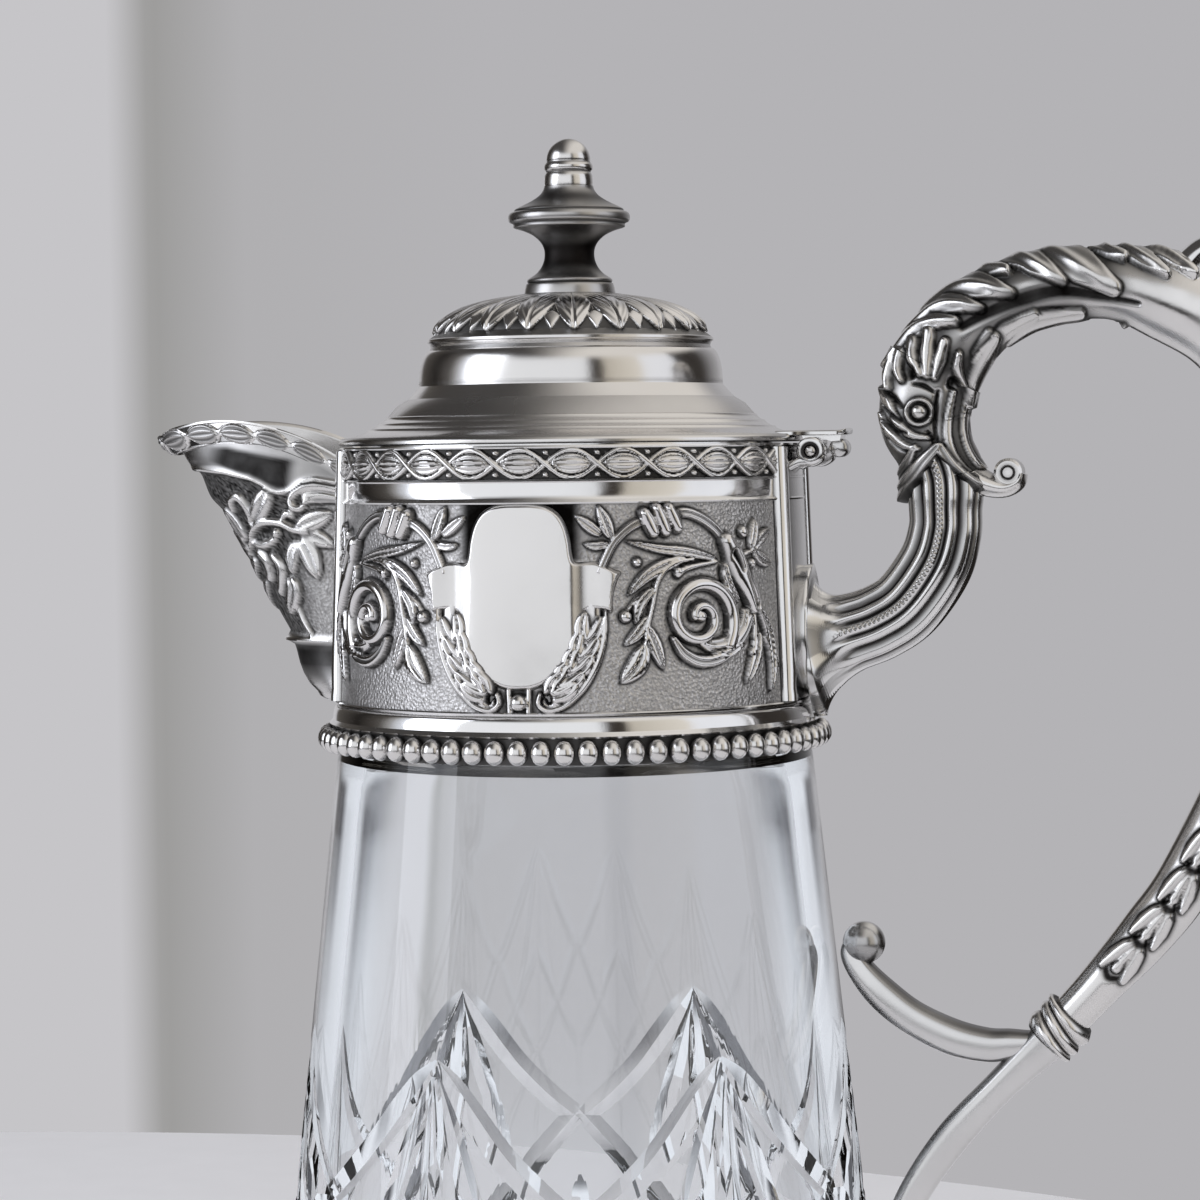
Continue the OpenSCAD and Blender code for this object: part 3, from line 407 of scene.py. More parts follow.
def stampLeaf(canvas, points, width, rise, veins=0.3, blunt=0.7, skew=0.85):
    path = smoothLine(points, 6)
    window, gap, side, along, length = nearPath(canvas, path, width + 1.2)
    half = width * np.clip(4 * along ** skew * (1 - along ** skew), 1e-4, 1) ** blunt
    x = gap / half
    height = rise * (0.55 + 0.45 * roundTop(x))
    height = height - 0.34 * rise * np.exp(-(gap / 0.24) ** 2)
    height = height - 0.14 * rise * veins * (0.5 + 0.5 * np.cos(2 * pi * (along * length - gap * 0.9) / 1.1))
    press(canvas, window, gap, half, height, 0.55 * np.exp(-(gap / 0.22) ** 2))


def stampLobe(canvas, points, radii, rise, ribs=2, slope=0.0):
    # blunt acanthus lobe: fluted along its length, with a hard edge all round
    path = smoothLine(points, 6)
    radii = np.atleast_1d(np.asarray(radii, float))
    window, gap, side, along, length = nearPath(canvas, path, radii.max() + 1.2)
    width = np.interp(along, np.linspace(0, 1, len(radii)), radii)
    x = gap / width
    rolled = rise * (0.5 + 0.5 * np.clip(1 - x ** 3, 0, 1)) + slope * side
    flute = (0.5 - 0.5 * np.cos(2 * pi * ribs * side / width * 0.5)) * ramp(1 - along, 0.03, 0.3)
    press(canvas, window, gap, width, rolled - 0.3 * rise * flute, 0.55 * flute ** 3)


def stampBall(canvas, centre, radius, rise):
    window, gap, side, along, length = nearPath(
        canvas, np.array([centre, [centre[0] + 0.01, centre[1]]]), radius + 1.2)
    height = rise * (0.3 + 0.7 * roundTop(gap / radius))
    press(canvas, window, gap, np.full_like(gap, radius), height)


def pressAll(canvas, strokes, side=1):
    # each row is a stamp, its points and the rest of what that stamp asks for
    for stamp, points, *rest in strokes:
        stamp(canvas, np.asarray(points, float) * [side, 1], *rest)


def carve(canvas, points, radii, depth):
    path = smoothLine(points, 6)
    radii = np.atleast_1d(np.asarray(radii, float))
    window, gap, side, along, length = nearPath(canvas, path, 2.2 * radii.max())
    width = np.interp(along, np.linspace(0, 1, len(radii)), radii)
    dip = np.exp(-(gap / width) ** 2 * 1.5)
    canvas["height"][window] -= depth * dip
    # carved grooves are darkened: oxide and painted shade
    canvas["oxide"][window] = np.maximum(canvas["oxide"][window], 0.97 * np.clip(dip * 1.4, 0, 1))


def blur(field, reach):
    for axis in (0, 1):
        total = np.zeros_like(field)
        padded = np.pad(field, [(reach, reach) if k == axis else (0, 0) for k in (0, 1)], mode="edge")
        for k in range(2 * reach + 1):
            total += padded[k:k + field.shape[0], :] if axis == 0 else padded[:, k:k + field.shape[1]]
        field = total / (2 * reach + 1)
    return field


def hollowOxideAndShade(canvas, reach, strength, base=0.0):
    # oxide and painted shade where the surface lies below what is round it
    height = canvas["height"]
    pixels = max(1, int(round(reach / canvas["stepX"])))
    local = blur(blur(height, pixels), pixels)
    fine = blur(height, max(1, pixels // 3))
    return np.clip((local - height) * strength + (fine - height) * strength * 0.8, 0, 1) * (1 - base) + base


def sample(canvas, field, x, z):
    i = np.clip((x - canvas["xs"][0]) / canvas["stepX"], 0, len(canvas["xs"]) - 1.001)
    j = np.clip((z - canvas["zs"][0]) / canvas["stepZ"], 0, len(canvas["zs"]) - 1.001)
    i0, j0 = i.astype(int), j.astype(int)
    u, v = i - i0, j - j0
    return (field[i0, j0] * (1 - u) * (1 - v) + field[i0 + 1, j0] * u * (1 - v)
            + field[i0, j0 + 1] * (1 - u) * v + field[i0 + 1, j0 + 1] * u * v)


# Glass body

glass = {
    "baseR": 64, "shoulderR": 45, "height": 175, "wall": 5, "floor": 12, "neckH": 16, "neckR": 41.04,
    "arches": 6, "archTurn": 12.7, "tipZ": 122, "valleyZ": 95, "lowerZ": 68, "footZ": 44,
    "mitreDepth": 1.35, "mitreHalf": 2.5, "starR": 50, "starPoints": 16, "starDepth": 1.2,
}
flankSlope = (glass["baseR"] - glass["shoulderR"]) / glass["height"]


def flankR(z):
    return glass["baseR"] - flankSlope * z


def mitre(path, depth, half):
    # V-shaped cutter along a path of angle, height and share of the full depth
    line = smoothLine(path, 5)
    angle, z, share = np.radians(line[:, 0]), line[:, 1], line[:, 2]
    r = flankR(z)
    place = np.stack([r * np.cos(angle), r * np.sin(angle), z], -1)
    out = np.stack([np.cos(angle), np.sin(angle), np.full_like(angle, flankSlope)], -1)
    out /= np.linalg.norm(out, axis=1, keepdims=True)
    along = np.gradient(place, axis=0)
    side = np.cross(out, along)
    side /= np.linalg.norm(side, axis=1, keepdims=True)
    deep, top = (depth * share)[:, None], 1.5
    wide = half / depth * (deep + top)
    return np.stack([place - out * deep, place + out * top + side * wide, place + out * top - side * wide], 1)


def cutterPaths():
    g = glass
    tip, valley, lower, foot = g["tipZ"], g["valleyZ"], g["lowerZ"], g["footZ"]
    paths = []
    for k in range(g["arches"]):
        turn = g["archTurn"] + k * 360 / g["arches"]
        for s in (-1, 1):
            paths.append([(turn, tip + 0.4, 0.15), (turn + s * 3.6, tip - 3.4, 0.8),
                          (turn + s * 8.5, tip - 8.8, 1), (turn + s * 15.6, tip - 16.5, 1),
                          (turn + s * 23.5, tip - 23.4, 1), (turn + s * 30, valley - 1, 0.9)])
            paths.append([(turn, tip - 1.5, 0.2), (turn + s * 3.4, tip - 10, 0.7),
                          (turn + s * 6.8, tip - 19, 0.85),
                          (turn + s * 10.5, valley - 2, 0.8), (turn + s * 13.5, valley - 10, 0.25)])
            paths.append([(turn + s * 30, valley + 1, 0.9), (turn + s * 20, valley - 9, 1),
                          (turn + s * 9, lower + 7, 1), (turn, lower - 0.5, 0.9)])
            paths.append([(turn + s * 30, lower + 1, 0.9), (turn + s * 20, lower + 8, 1),
                          (turn + s * 9, valley - 8, 1), (turn, valley - 1, 0.9)])
            paths.append([(turn, lower + 1, 0.9), (turn + s * 9, lower - 7, 0.9),
                          (turn + s * 19, lower - 16, 0.7), (turn + s * 26, lower - 21, 0.2)])
        paths.append([(turn, tip - 0.5, 0.15), (turn, tip - 8, 0.85), (turn, valley, 1), (turn, lower, 1),
                      (turn, foot + 8, 0.8), (turn, foot, 0.15)])
        paths.append([(turn + 30, valley - 13, 0.15), (turn + 30, valley - 18, 0.9), (turn + 30, lower, 1),
                      (turn + 30, foot + 12, 0.8), (turn + 30, foot + 2, 0.15)])
    return paths


def makeGlass():
    g = glass
    inner = flankR(g["height"]) - g["wall"]
    bore = g["neckR"] - g["wall"]
    flank = [(flankR(z), z) for z in (1.6, *range(12, 169, 12), g["height"])]
    hollow = [(flankR(z) - g["wall"], z) for z in (168, 158, 146, 134, 120, 106, 92, 78, 64, 50, 36, 22)]
    profile = [(0, 0), (g["baseR"] - 1.8, 0), (flankR(0.5) - 0.5, 0.5)] + flank + [
        (g["neckR"], g["height"]), (g["neckR"], g["height"] + g["neckH"] - 1.5),
        (g["neckR"] - 1.5, g["height"] + g["neckH"]), (bore + 1.5, g["height"] + g["neckH"]),
        (bore, g["height"] + g["neckH"] - 1.5), (bore, g["height"] + 1.4), (inner - 1.4, g["height"] - 0.9),
        (inner - 0.2, g["height"] - 2.6)] + hollow
    turn = [math.radians(a) for a in (0, 18, 36, 54, 72, 90)]
    cornerR = 9
    floorEdge = flankR(g["floor"] + cornerR) - g["wall"] - cornerR
    profile += [(floorEdge + cornerR * math.cos(a), g["floor"] + cornerR - cornerR * math.sin(a))
                for a in turn]
    profile += [(0, g["floor"])]
    body = addTurned("crystal_body", profile, leadCrystal, columns=240, merge=True)
    cutters = []
    for path in cutterPaths():
        rings = mitre(path, g["mitreDepth"], g["mitreHalf"])
        cutters.append(addSkin("cutter", rings, leadCrystal))
    for k in range(g["starPoints"]):
        angle = 2 * pi * (k + 0.5) / g["starPoints"]
        ray = np.array([math.cos(angle), math.sin(angle), 0])
        side = np.array([-math.sin(angle), math.cos(angle), 0])
        rings = []
        for r, depth in ((0.4, g["starDepth"]), (g["starR"] - 9, g["starDepth"]), (g["starR"], 0.05)):
            rings.append([ray * r + [0, 0, depth], ray * r + side * 2.6 * (depth + 1) - [0, 0, 1],
                          ray * r - side * 2.6 * (depth + 1) - [0, 0, 1]])
        cutters.append(addSkin("cutter", np.array(rings), leadCrystal))
    carved = cutMesh(body, cutters)
    piece = finishMesh("crystal_body", carved, leadCrystal, sharp=22)
    print("crystal faces", len(carved.polygons))
    mount(piece, "jug", "crystal", "glass_body")


makeGlass()
print("glass made")


# Collar: a raised cone of silver with its bands, beads, leaf wire and chased frieze

collar = {
    "foot": 175, "top": 232, "wall": 1.0, "footR": 45, "topR": 43, "friezeFoot": 184.5, "friezeTop": 221.6,
    "bandFoot": 226.05, "bandTop": 231.4,
    "beads": 70, "beadR": 47.05, "beadZ": 177.4, "beadHalfWidth": 1.92, "beadHalfHeight": 2.25,
    "beadSpread": 0.025,
}


def groundR(z):
    c = collar
    return c["footR"] - (z - c["foot"]) * (c["footR"] - c["topR"]) / (c["top"] - c["foot"])


def arcRings(canvas, lift, side, back=-0.35):
    # bends a canvas round the collar: x is the way from the middle of that side towards the handle
    angle = np.radians(-90) + canvas["x"] / 44
    r = groundR(canvas["z"]) + lift
    outer = np.stack([r * np.cos(angle), side * r * np.sin(angle), canvas["z"]], -1)
    ends = outer[:, [-1, 0]].copy()
    scale = (groundR(ends[..., 2]) + back) / np.hypot(ends[..., 0], ends[..., 1])
    ends[..., 0] *= scale
    ends[..., 1] *= scale
    return np.concatenate([outer, ends], 1)


def withEnds(tone):
    return np.concatenate([tone, tone[:, [-1, 0]]], 1)


def makeCollarShell():
    c = collar
    z = c["foot"] + 0.05
    band = [(groundR(179.9), 179.9), (groundR(179.9) + 1.5, 179.9), (groundR(180.2) + 1.75, 180.25),
            (groundR(180.6) + 1.35, 180.7)]
    cushion = [(groundR(h) + 0.35 + 0.75 * math.sqrt(max(0, 1 - ((h - 181.0) / 2.6) ** 2)), h)
               for h in np.linspace(181.0, 183.4, 9)]
    profile = [(groundR(z), z)] + band + cushion + [
        (groundR(183.7) + 0.25, 183.65), (groundR(184) + 0.75, 183.9), (groundR(184) + 0.8, 184.25),
        (groundR(184) + 0.55, 184.5), (groundR(184.5), 184.55), (groundR(221.5), 221.5),
        (groundR(221.6) + 0.7, 221.55), (groundR(221.8) + 0.85, 221.85), (groundR(222) + 0.55, 222.2),
        (groundR(223) + 0.28, 222.6), (groundR(224) + 0.24, 224.2), (groundR(225.4) + 0.3, 225.35),
        (groundR(225.8) + 0.8, 225.6), (groundR(226) + 0.85, 225.95), (groundR(226.1) + 0.1, 226.1),
        (groundR(231.4) + 0.1, 231.4), (groundR(231.5) + 0.9, 231.45), (groundR(231.8) + 1.05, 231.7),
        (groundR(232) + 0.95, 232), (groundR(232) - c["wall"], 232), (groundR(z) - c["wall"], z)]
    # darker at the foot under the beads, in the crevices beside the ribs and on the ground under the frieze
    # and leaf band: oxide and painted shade
    tone = [0.8, 0.75, 0.3, 0, 0.05] + [0] * len(cushion)
    tone += [0.35, 0.05, 0, 0.25, 0.7, 0.6, 0.25, 0, 0.1, 0, 0, 0, 0.05, 0.2, 0.8, 0.8, 0.2, 0, 0, 0.2, 0.3]
    shell = addTurned("collar_body", profile, polishedSilver, columns=300, tarnishAndShade=tone, sharp=35)
    opening = (-52, 197), (-52, 225), (-34, 225), (-34, 197)
    window = addSkin("window", np.array([[(x, y, zz) for x, zz in opening] for y in (-12.4, 12.4)]),
                     polishedSilver)
    carved = finishMesh("collar_body", cutMesh(shell, [window]), polishedSilver, sharp=35)
    mount(carved, "jug", "silver_polished", "collar_shell")


def makeBeads():
    c = collar
    rows, columns = 9, 14
    polar = np.linspace(0.12, pi - 0.12, rows)
    turn = np.arange(columns) * 2 * pi / columns
    rings = np.stack([np.outer(np.cos(turn), np.sin(polar)), np.outer(np.sin(turn), np.sin(polar)),
                      np.tile(np.cos(polar), (columns, 1))], -1)
    points, faces = [], []
    index = np.arange(rows * columns).reshape(columns, rows)
    quads = np.stack([index[:, :-1], index[:, 1:], np.roll(index, -1, 0)[:, 1:],
                      np.roll(index, -1, 0)[:, :-1]], -1)
    template = quads.reshape(-1, 4).tolist() + [index[:, 0].tolist(), index[::-1, -1].tolist()]
    for k in range(c["beads"]):
        angle = -pi / 2 + 2 * pi * k / c["beads"]
        jitter = 1 + c["beadSpread"] * rng.standard_normal(3)
        size = np.array([c["beadHalfWidth"], c["beadHalfWidth"], c["beadHalfHeight"]]) * jitter
        local = rings.reshape(-1, 3) * size + [c["beadR"] - 0.15, 0, 0]
        x = local[:, 0] * math.cos(angle) - local[:, 1] * math.sin(angle)
        y = local[:, 0] * math.sin(angle) + local[:, 1] * math.cos(angle)
        faces += [[i + k * rows * columns for i in face] for face in template]
        points.append(np.stack([x, y, local[:, 2] + c["beadZ"]], -1))
    points = np.concatenate(points)
    mesh = bpy.data.meshes.new("bead_row")
    mesh.from_pydata((points * mm).tolist(), [], faces)
    # painted shade: each bead darker on its side towards the collar
    away = np.hypot(points[:, 0], points[:, 1]) - c["beadR"]
    layer = mesh.attributes.new("tarnishAndShade", "FLOAT", "POINT")
    layer.data.foreach_set("value", np.clip(0.85 - (away + 0.4) * 1.1, 0, 0.9).astype(np.float32))
    beads = finishMesh("bead_row", mesh, spunSilver)
    mount(beads, "jug", "silver_polished", "bead_border")
    ringProfile = [(groundR(175.2) + 0.05, 175.15), (groundR(175.2) + 0.9, 175.15),
                   (groundR(175.4) + 1.1, 175.6), (groundR(177) + 1.0, 177.4), (groundR(179) + 1.1, 179.2),
                   (groundR(179.8) + 1.3, 179.8), (groundR(179.8) + 0.05, 179.8)]
    # the ring behind the beads is dark all over: painted shade between the beads
    seatRing = addTurned("bead_seat", ringProfile, chasedSilver, columns=200,
                         tarnishAndShade=[0.9] * len(ringProfile))
    mount(seatRing, "jug", "silver_polished")


leafBand = {"pitch": 9.35, "start": 0.3, "leafHalf": 3.75, "leafHalfHeight": 2.05, "wave": 2.45,
            "ribbonR": 0.5}


def makeLeafBand():
    c, b = collar, leafBand
    canvas = newCanvas(-49.4, 54.1, c["bandFoot"] + 0.05, c["bandTop"], 0.2)
    pitch, middle = b["pitch"], (c["bandFoot"] + c["bandTop"]) / 2
    x, z = canvas["x"], canvas["z"] - middle
    phase = (x - b["start"]) / pitch
    u = (phase - np.round(phase)) * pitch
    canvas["height"] += 0.12
    length = b["leafHalf"]
    half = b["leafHalfHeight"] * np.clip(1 - (u / length) ** 2, 0, 1) ** 0.8
    inside = np.abs(z) < half
    v = z / np.maximum(half, 0.05)
    leaf = 0.55 + 1.0 * roundTop(v) * np.clip(1 - (u / length) ** 2, 0, 1) ** 0.35
    leaf -= 0.3 * (0.5 + 0.5 * np.cos(2 * pi * v * 2.0))
    canvas["height"] = np.where(inside, np.maximum(canvas["height"], leaf), canvas["height"])
    for sign in (-1, 1):
        wave = sign * b["wave"] * np.cos(pi * phase)
        slope = np.hypot(1, b["wave"] * pi / pitch * np.sin(pi * phase))
        gap = np.abs(z - wave) / slope
        ribbon = 0.6 + 0.5 * roundTop(gap / b["ribbonR"]) + 0.2 * sign * np.sin(pi * phase)
        canvas["height"] = np.where((gap < b["ribbonR"]) & ~inside, np.maximum(canvas["height"], ribbon),
                                    canvas["height"])
    tip = np.hypot(np.abs(u) - pitch / 2, (np.abs(z) - 1.95) * 1.2) / 0.55
    tipHigh = np.maximum(canvas["height"], 0.3 + 0.4 * roundTop(tip))
    canvas["height"] = np.where(tip < 1, tipHigh, canvas["height"])
    # darker in the hollows and near black on the low ground between leaves and ribbons: oxide and painted
    # shade
    tone = hollowOxideAndShade(canvas, 0.7, 2.4, 0.04)
    tone = np.where(canvas["height"] < 0.2, 0.93, tone)
    for side, name in ((1, "leaf_band_front"), (-1, "leaf_band_back")):
        piece = addSkin(name, arcRings(canvas, canvas["height"] + 0.1, side), chasedSilver,
                        tarnishAndShade=withEnds(tone))
        mount(piece, "jug", "silver_chased", *(["collar_leaf_band"] if side == 1 else []))


def spiral(centre, turns, outer, inner, start, sign=1, steps=48):
    t = np.linspace(0, 1, steps)
    angle = math.radians(start) + sign * 2 * pi * turns * t
    r = outer + (inner - outer) * t ** 0.8
    return np.stack([centre[0] + r * np.cos(angle), centre[1] + r * np.sin(angle)], -1)


# strokes of half the frieze, from the middle of one side towards the handle
friezeStrokes = [
    # rods and the triple ring that ties them
    (stampTube, [(14.5, 209.5), (15.6, 212), (17.2, 214.8), (20, 217.3), (23, 218.6)], (0.75, 0.85), 1.0, 0.4,
     0.25),
    (stampTube, [(28.5, 219.6), (31, 219.7), (34, 218.6), (36.6, 216.9), (38.8, 214.8)], (0.95, 0.85), 1.05,
     0.4, 0.3),
    *[(stampTube, [(x - 0.7, z + size), (x, z + 0.3), (x + 0.9, z - size)], (1.15, 1.35, 1.35, 1.15), 1.7,
       0.1)
      for x, z, size in ((23.3, 218.0, 1.7), (25.6, 218.5, 2.0), (27.9, 218.8, 1.7))],
    # sprig of leaves over the shield's shoulder
    (stampLeaf, [(16.6, 215.2), (15.6, 218), (14.3, 221.2)], 1.25, 0.95),
    (stampLeaf, [(14.8, 215.9), (12.6, 217.6), (10.2, 219.4)], 1.05, 0.85),
    (stampLeaf, [(16.2, 214.4), (13.8, 214), (11.6, 214.4)], 0.8, 0.7),
    # big spiral, its second band and its acanthus husk
    (stampTube, spiral((32.9, 200.9), 1.6, 8.0, 1.2, -40, 1), (1.35, 1.35, 1.25, 1.15, 1.0, 0.8), 1.5, 0.2,
     0.0),
    (stampBall, (33.0, 201.1), 1.1, 1.6),
    (stampTube, [(27.6, 197.2), (29.4, 194.7), (32.4, 193.1), (36, 193.2), (39.6, 194.9), (42.6, 197.6),
                 (44.4, 200.6)], (0.5, 1.05, 1.2, 1.15, 1.1, 0.9, 0.7), 1.35, 0.35, 0.3),
    (stampLobe, [(43.6, 201.5), (42.6, 198.4), (39.6, 196.2), (35.5, 195.6), (31.6, 196.8)],
     (0.9, 1.35, 1.5, 1.2, 0.35), 1.15, 2),
    (stampLeaf, [(42.5, 196.3), (39, 194.4), (35, 194.2)], 0.9, 1.5),
    # long husk with a drop hole, falling from the second rod
    (stampTube, [(42.6, 212.4), (44.9, 208.4), (46.8, 204.4), (47.4, 200.8)], (0.7, 0.8, 0.6, 0.35), 0.9,
     0.3),
    (stampTube, [(39.2, 214.4), (40.6, 212), (42.2, 208.6), (43.8, 205), (44.8, 201.6)],
     (1.6, 2.4, 2.2, 1.3, 0.5), 1.8, 0.25),
    (stampLeaf, [(38.4, 210.6), (39.4, 206.6), (41.8, 203.2)], 1.0, 1.2),
    (carve, [(40.6, 212.2), (41.4, 210.8), (42, 209.4)], (0.75, 0.6, 0.4), 1.4),
    # stem and leaves under the husk
    (stampTube, [(45.3, 203), (45.7, 198.5), (45.2, 194.5)], (0.65, 0.45), 0.9),
    (stampLeaf, [(46.8, 202.5), (49.6, 197.8), (50.6, 192), (49.8, 186.6)], 1.3, 1.1),
    (stampLeaf, [(46.6, 198), (46, 193.6), (43.2, 188.6)], 1.5, 1.0),
    (stampLeaf, [(48.5, 197), (51.2, 193.4), (52.9, 190.6)], 1.0, 0.8),
    (stampBall, (45.1, 194.1), 0.9, 1.0),
    # sprig beside the husk
    (stampTube, [(44, 212), (46, 212.6), (48.5, 213)], (0.45, 0.35), 0.8),
    (stampLeaf, [(45.4, 212.8), (46.4, 215.4), (46.9, 218.3)], 1.25, 0.95),
    (stampLeaf, [(46.6, 213.2), (48.8, 214.8), (51.4, 216.4)], 1.1, 0.85),
    (stampLeaf, [(46.4, 212.2), (49, 210.8), (51.6, 210)], 1.2, 0.85),
    (stampBall, (43.6, 216), 1.1, 1.05),
    (stampBall, (45.9, 210.3), 0.8, 0.9),
    # sprays between the spiral and the shield
    (stampLeaf, [(37.2, 211.2), (31, 212.6), (25, 213.4), (19.2, 214.8)], 0.95, 0.95, 0.4),
    (stampTube, [(36.8, 210.8), (33.2, 210.3), (30.3, 209.7), (28.8, 208.7)], (0.35, 0.5, 0.75), 0.95),
    (stampLeaf, [(30.5, 211.6), (26.4, 210.4), (22.6, 208.4), (19.4, 205.2)], 1.25, 1.0),
    (stampTube, [(31.8, 211.4), (27.6, 210.6), (24.9, 207.6), (23.7, 203), (22.6, 198.4), (22, 194.6)],
     (0.35, 0.55, 0.5, 0.45, 0.3), 1.0),
    (stampLeaf, [(24, 206.4), (21.6, 203.6), (20.6, 200)], 1.05, 1.1),
    (stampLeaf, [(23, 201.4), (21, 198.4), (18.6, 196.3)], 1.15, 0.95),
    (stampLeaf, [(22.2, 196.4), (20.9, 192.8), (17.8, 189.6)], 1.9, 1.05),
    (stampLeaf, [(22.6, 199.8), (24.2, 196), (25.6, 191.8)], 1.35, 1.0),
    (stampBall, (21.2, 211), 0.85, 0.95),
    (stampBall, (18.9, 201.4), 1.15, 1.2),
    (stampBall, (28.9, 209.2), 0.9, 1.1),
    (stampTube, [(19.4, 202.6), (21, 204.6), (23.2, 206)], (0.3, 0.3), 0.7),
    # laurel crescent that holds the shield from below
    (stampTube, [(13.3, 203.4), (12.6, 198.6), (10.9, 194.2), (8.3, 190), (5.6, 186.8)],
     (1.2, 1.9, 2.1, 1.9, 1.4), 0.5, 0.5),
    (stampTube, [(15.2, 203), (15.1, 198.4), (13.9, 193.6), (11.5, 189.2), (8.2, 185.9), (5.1, 184.95),
                 (3.5, 186.1), (3.8, 187.8)], (0.3, 0.45, 0.55, 0.6, 0.7, 0.65, 0.55, 0.4), 1.2, 0.4),
]
laurelFoot = [
    (stampLobe, [(7.6, 187.4), (6.2, 186.2), (5, 186.4)], (0.9, 1.1, 0.8), 1.2, 1),
    (carve, [(5.2, 187.3), (5.3, 186.5)], (0.7, 0.7), 1.4),
]


def laurelLeaves():
    # overlapping pairs of leaves along the crescent
    branch = smoothLine([(5.2, 187.2), (7.9, 189.8), (10.6, 193.9), (12.3, 198.3), (13.2, 202.6)], 10)
    leaves = []
    for k, share in enumerate(np.linspace(0.82, 0.0, 5)):
        place = int(share * (len(branch) - 9))
        base, ahead = branch[place], branch[place + 8] - branch[place]
        ahead /= np.hypot(*ahead)
        aside = np.array([ahead[1], -ahead[0]])
        for sign in (-1, 1):
            line = [base + sign * 0.1 * aside, base + 2.6 * ahead + sign * 1.4 * aside,
                    base + 5.6 * ahead + sign * 1.6 * aside]
            leaves.append((stampLeaf, line, 1.45, 1.1 + 0.12 * k, 0.0, 0.55))
    return leaves


frieze = {"cell": 0.24, "gain": 1.3, "groundTone": 0.27, "groundSpread": 0.12, "shadowHalo": 0.72, "shadowHaloCells": 3}


def makeFrieze():
    c, f = collar, frieze
    canvas = newCanvas(-49.3, 54, c["friezeFoot"] + 0.05, c["friezeTop"] - 0.05, f["cell"])
    for side in (-1, 1):
        pressAll(canvas, friezeStrokes + laurelLeaves() + laurelFoot, side)
    stampBall(canvas, (0, 186.3), 1.5, 1.6)
    for x in (-1.5, 1.5):
        stampTube(canvas, [(x * 1.2, 188.5), (x * 1.1, 184.6)], (0.5, 0.5), 0.7)
    canvas["height"] *= f["gain"]
    height = canvas["height"]
    raised = ramp(height, 0.05, 0.3)
    punch = rng.standard_normal(height.shape)
    # painted shade: a soft dark halo on the ground round every raised form
    near = np.clip(blur(blur(raised, f["shadowHaloCells"]), f["shadowHaloCells"]) * 1.3, 0, f["shadowHalo"]) * (1 - raised)
    ground = (1 - raised) * np.clip(f["groundTone"] + f["groundSpread"] * punch, 0.05, 0.6)
    tone = np.clip(np.maximum(canvas["oxide"], np.maximum(near, ground)), 0, 0.97)
    # painted shade, darkest beside the shield's shoulders and under its foot
    beside = np.clip(np.abs(canvas["x"]) - 9.5, 0, None) / 2.2
    shieldShade = np.exp(-beside ** 2) * ramp(canvas["z"], 210.5, 212) * (1 - raised)
    tone = np.maximum(tone, shieldShade)
    footShade = np.exp(-(canvas["x"] / 4.2) ** 4) * ramp(189 - canvas["z"], 0, 1) * (1 - raised)
    tone = np.maximum(tone, 0.95 * footShade)
    for side, name in ((1, "frieze_front"), (-1, "frieze_back")):
        piece = addSkin(name, arcRings(canvas, height + 0.14, side), mattedSilver, tarnishAndShade=withEnds(tone),
                        sharp=70,
                        matt=withEnds(1 - raised))
        mount(piece, "jug", "silver_chased")


shieldLook = {"centre": 206.6, "lift": 0.75, "dome": 0.3}


def makeCartouches():
    half = [(0, 221.75), (2.6, 221.7), (5.2, 221.2), (7.3, 219.8), (8.6, 217.6), (9.3, 215), (9.6, 212.6),
            (10.1, 211.3), (11.6, 211.2), (13.6, 211.3), (15.4, 210.7), (17, 209.9), (18.3, 209.3),
            (17.7, 208), (17, 206), (16.7, 203.8), (16.5, 202.1), (14.8, 202.4), (13, 202.6), (11.8, 202.2),
            (11.15, 200.9), (10.8, 199.3), (10.4, 197.4), (9.6, 195), (8.3, 192.7), (6.5, 190.7),
            (4.5, 189.3), (2.4, 188.5), (0, 188.3)]
    right = smoothLine(half, 9)
    outline = np.vstack([right, right[-2:0:-1] * [-1, 1]])
    centre = np.array([0, shieldLook["centre"]])
    steps = 40
    shares = 1 - (np.arange(steps + 1) / steps) ** 1.5 * 0.985
    for side, name, node in ((1, "shield_front", "cartouche_front"), (-1, "shield_back", "cartouche_back")):
        rings, tones = [], []
        for share in shares:
            flat = centre + (outline - centre) * share
            inset = np.full(len(flat), 1e9)
            for k in range(len(outline)):
                inset = np.minimum(inset, np.hypot(*(flat - outline[k]).T))
            edge = ramp(inset, -0.1, 0.8)
            ear, above = np.abs(flat[:, 0]), np.abs(flat[:, 1] - 207)
            dome = np.cos(np.clip(ear / 10.5, 0, 1) * pi / 2) * np.cos(np.clip(above / 17.5, 0, 1) * pi / 2)
            lift = shieldLook["lift"] * edge + shieldLook["dome"] * dome * edge
            lift += edge * (0.85 * ramp(ear, 13.2, 16.4)
                            - 0.45 * ramp(ear, 9, 11.5) * (1 - ramp(ear, 12, 15))
                            - 0.5 * ramp(ear, 16.6, 18.2))
            angle = np.radians(-90) + flat[:, 0] / 44
            r = groundR(flat[:, 1]) + 0.35 + lift
            rings.append(np.stack([r * np.cos(angle), side * r * np.sin(angle), flat[:, 1]], -1))
            # painted shade: a dark line round the shield's rim and a dark band in the dip before each ear
            tones.append(np.clip(0.75 * np.exp(-(inset / 0.3) ** 2)
                                 + 0.35 * np.exp(-((ear - 11) / 0.8) ** 2), 0, 1))
        back = rings[0].copy()
        scale = (groundR(back[:, 2]) - 0.3) / np.hypot(back[:, 0], back[:, 1])
        back[:, 0] *= scale
        back[:, 1] *= scale
        # the back edge, where the shield meets the ground, is dark: painted shade
        piece = addSkin(name, np.array([back] + rings), spunSilver,
                        tarnishAndShade=np.array([tones[0] * 0 + 0.8] + tones), sharp=60)
        mount(piece, "jug", "silver_polished", node)


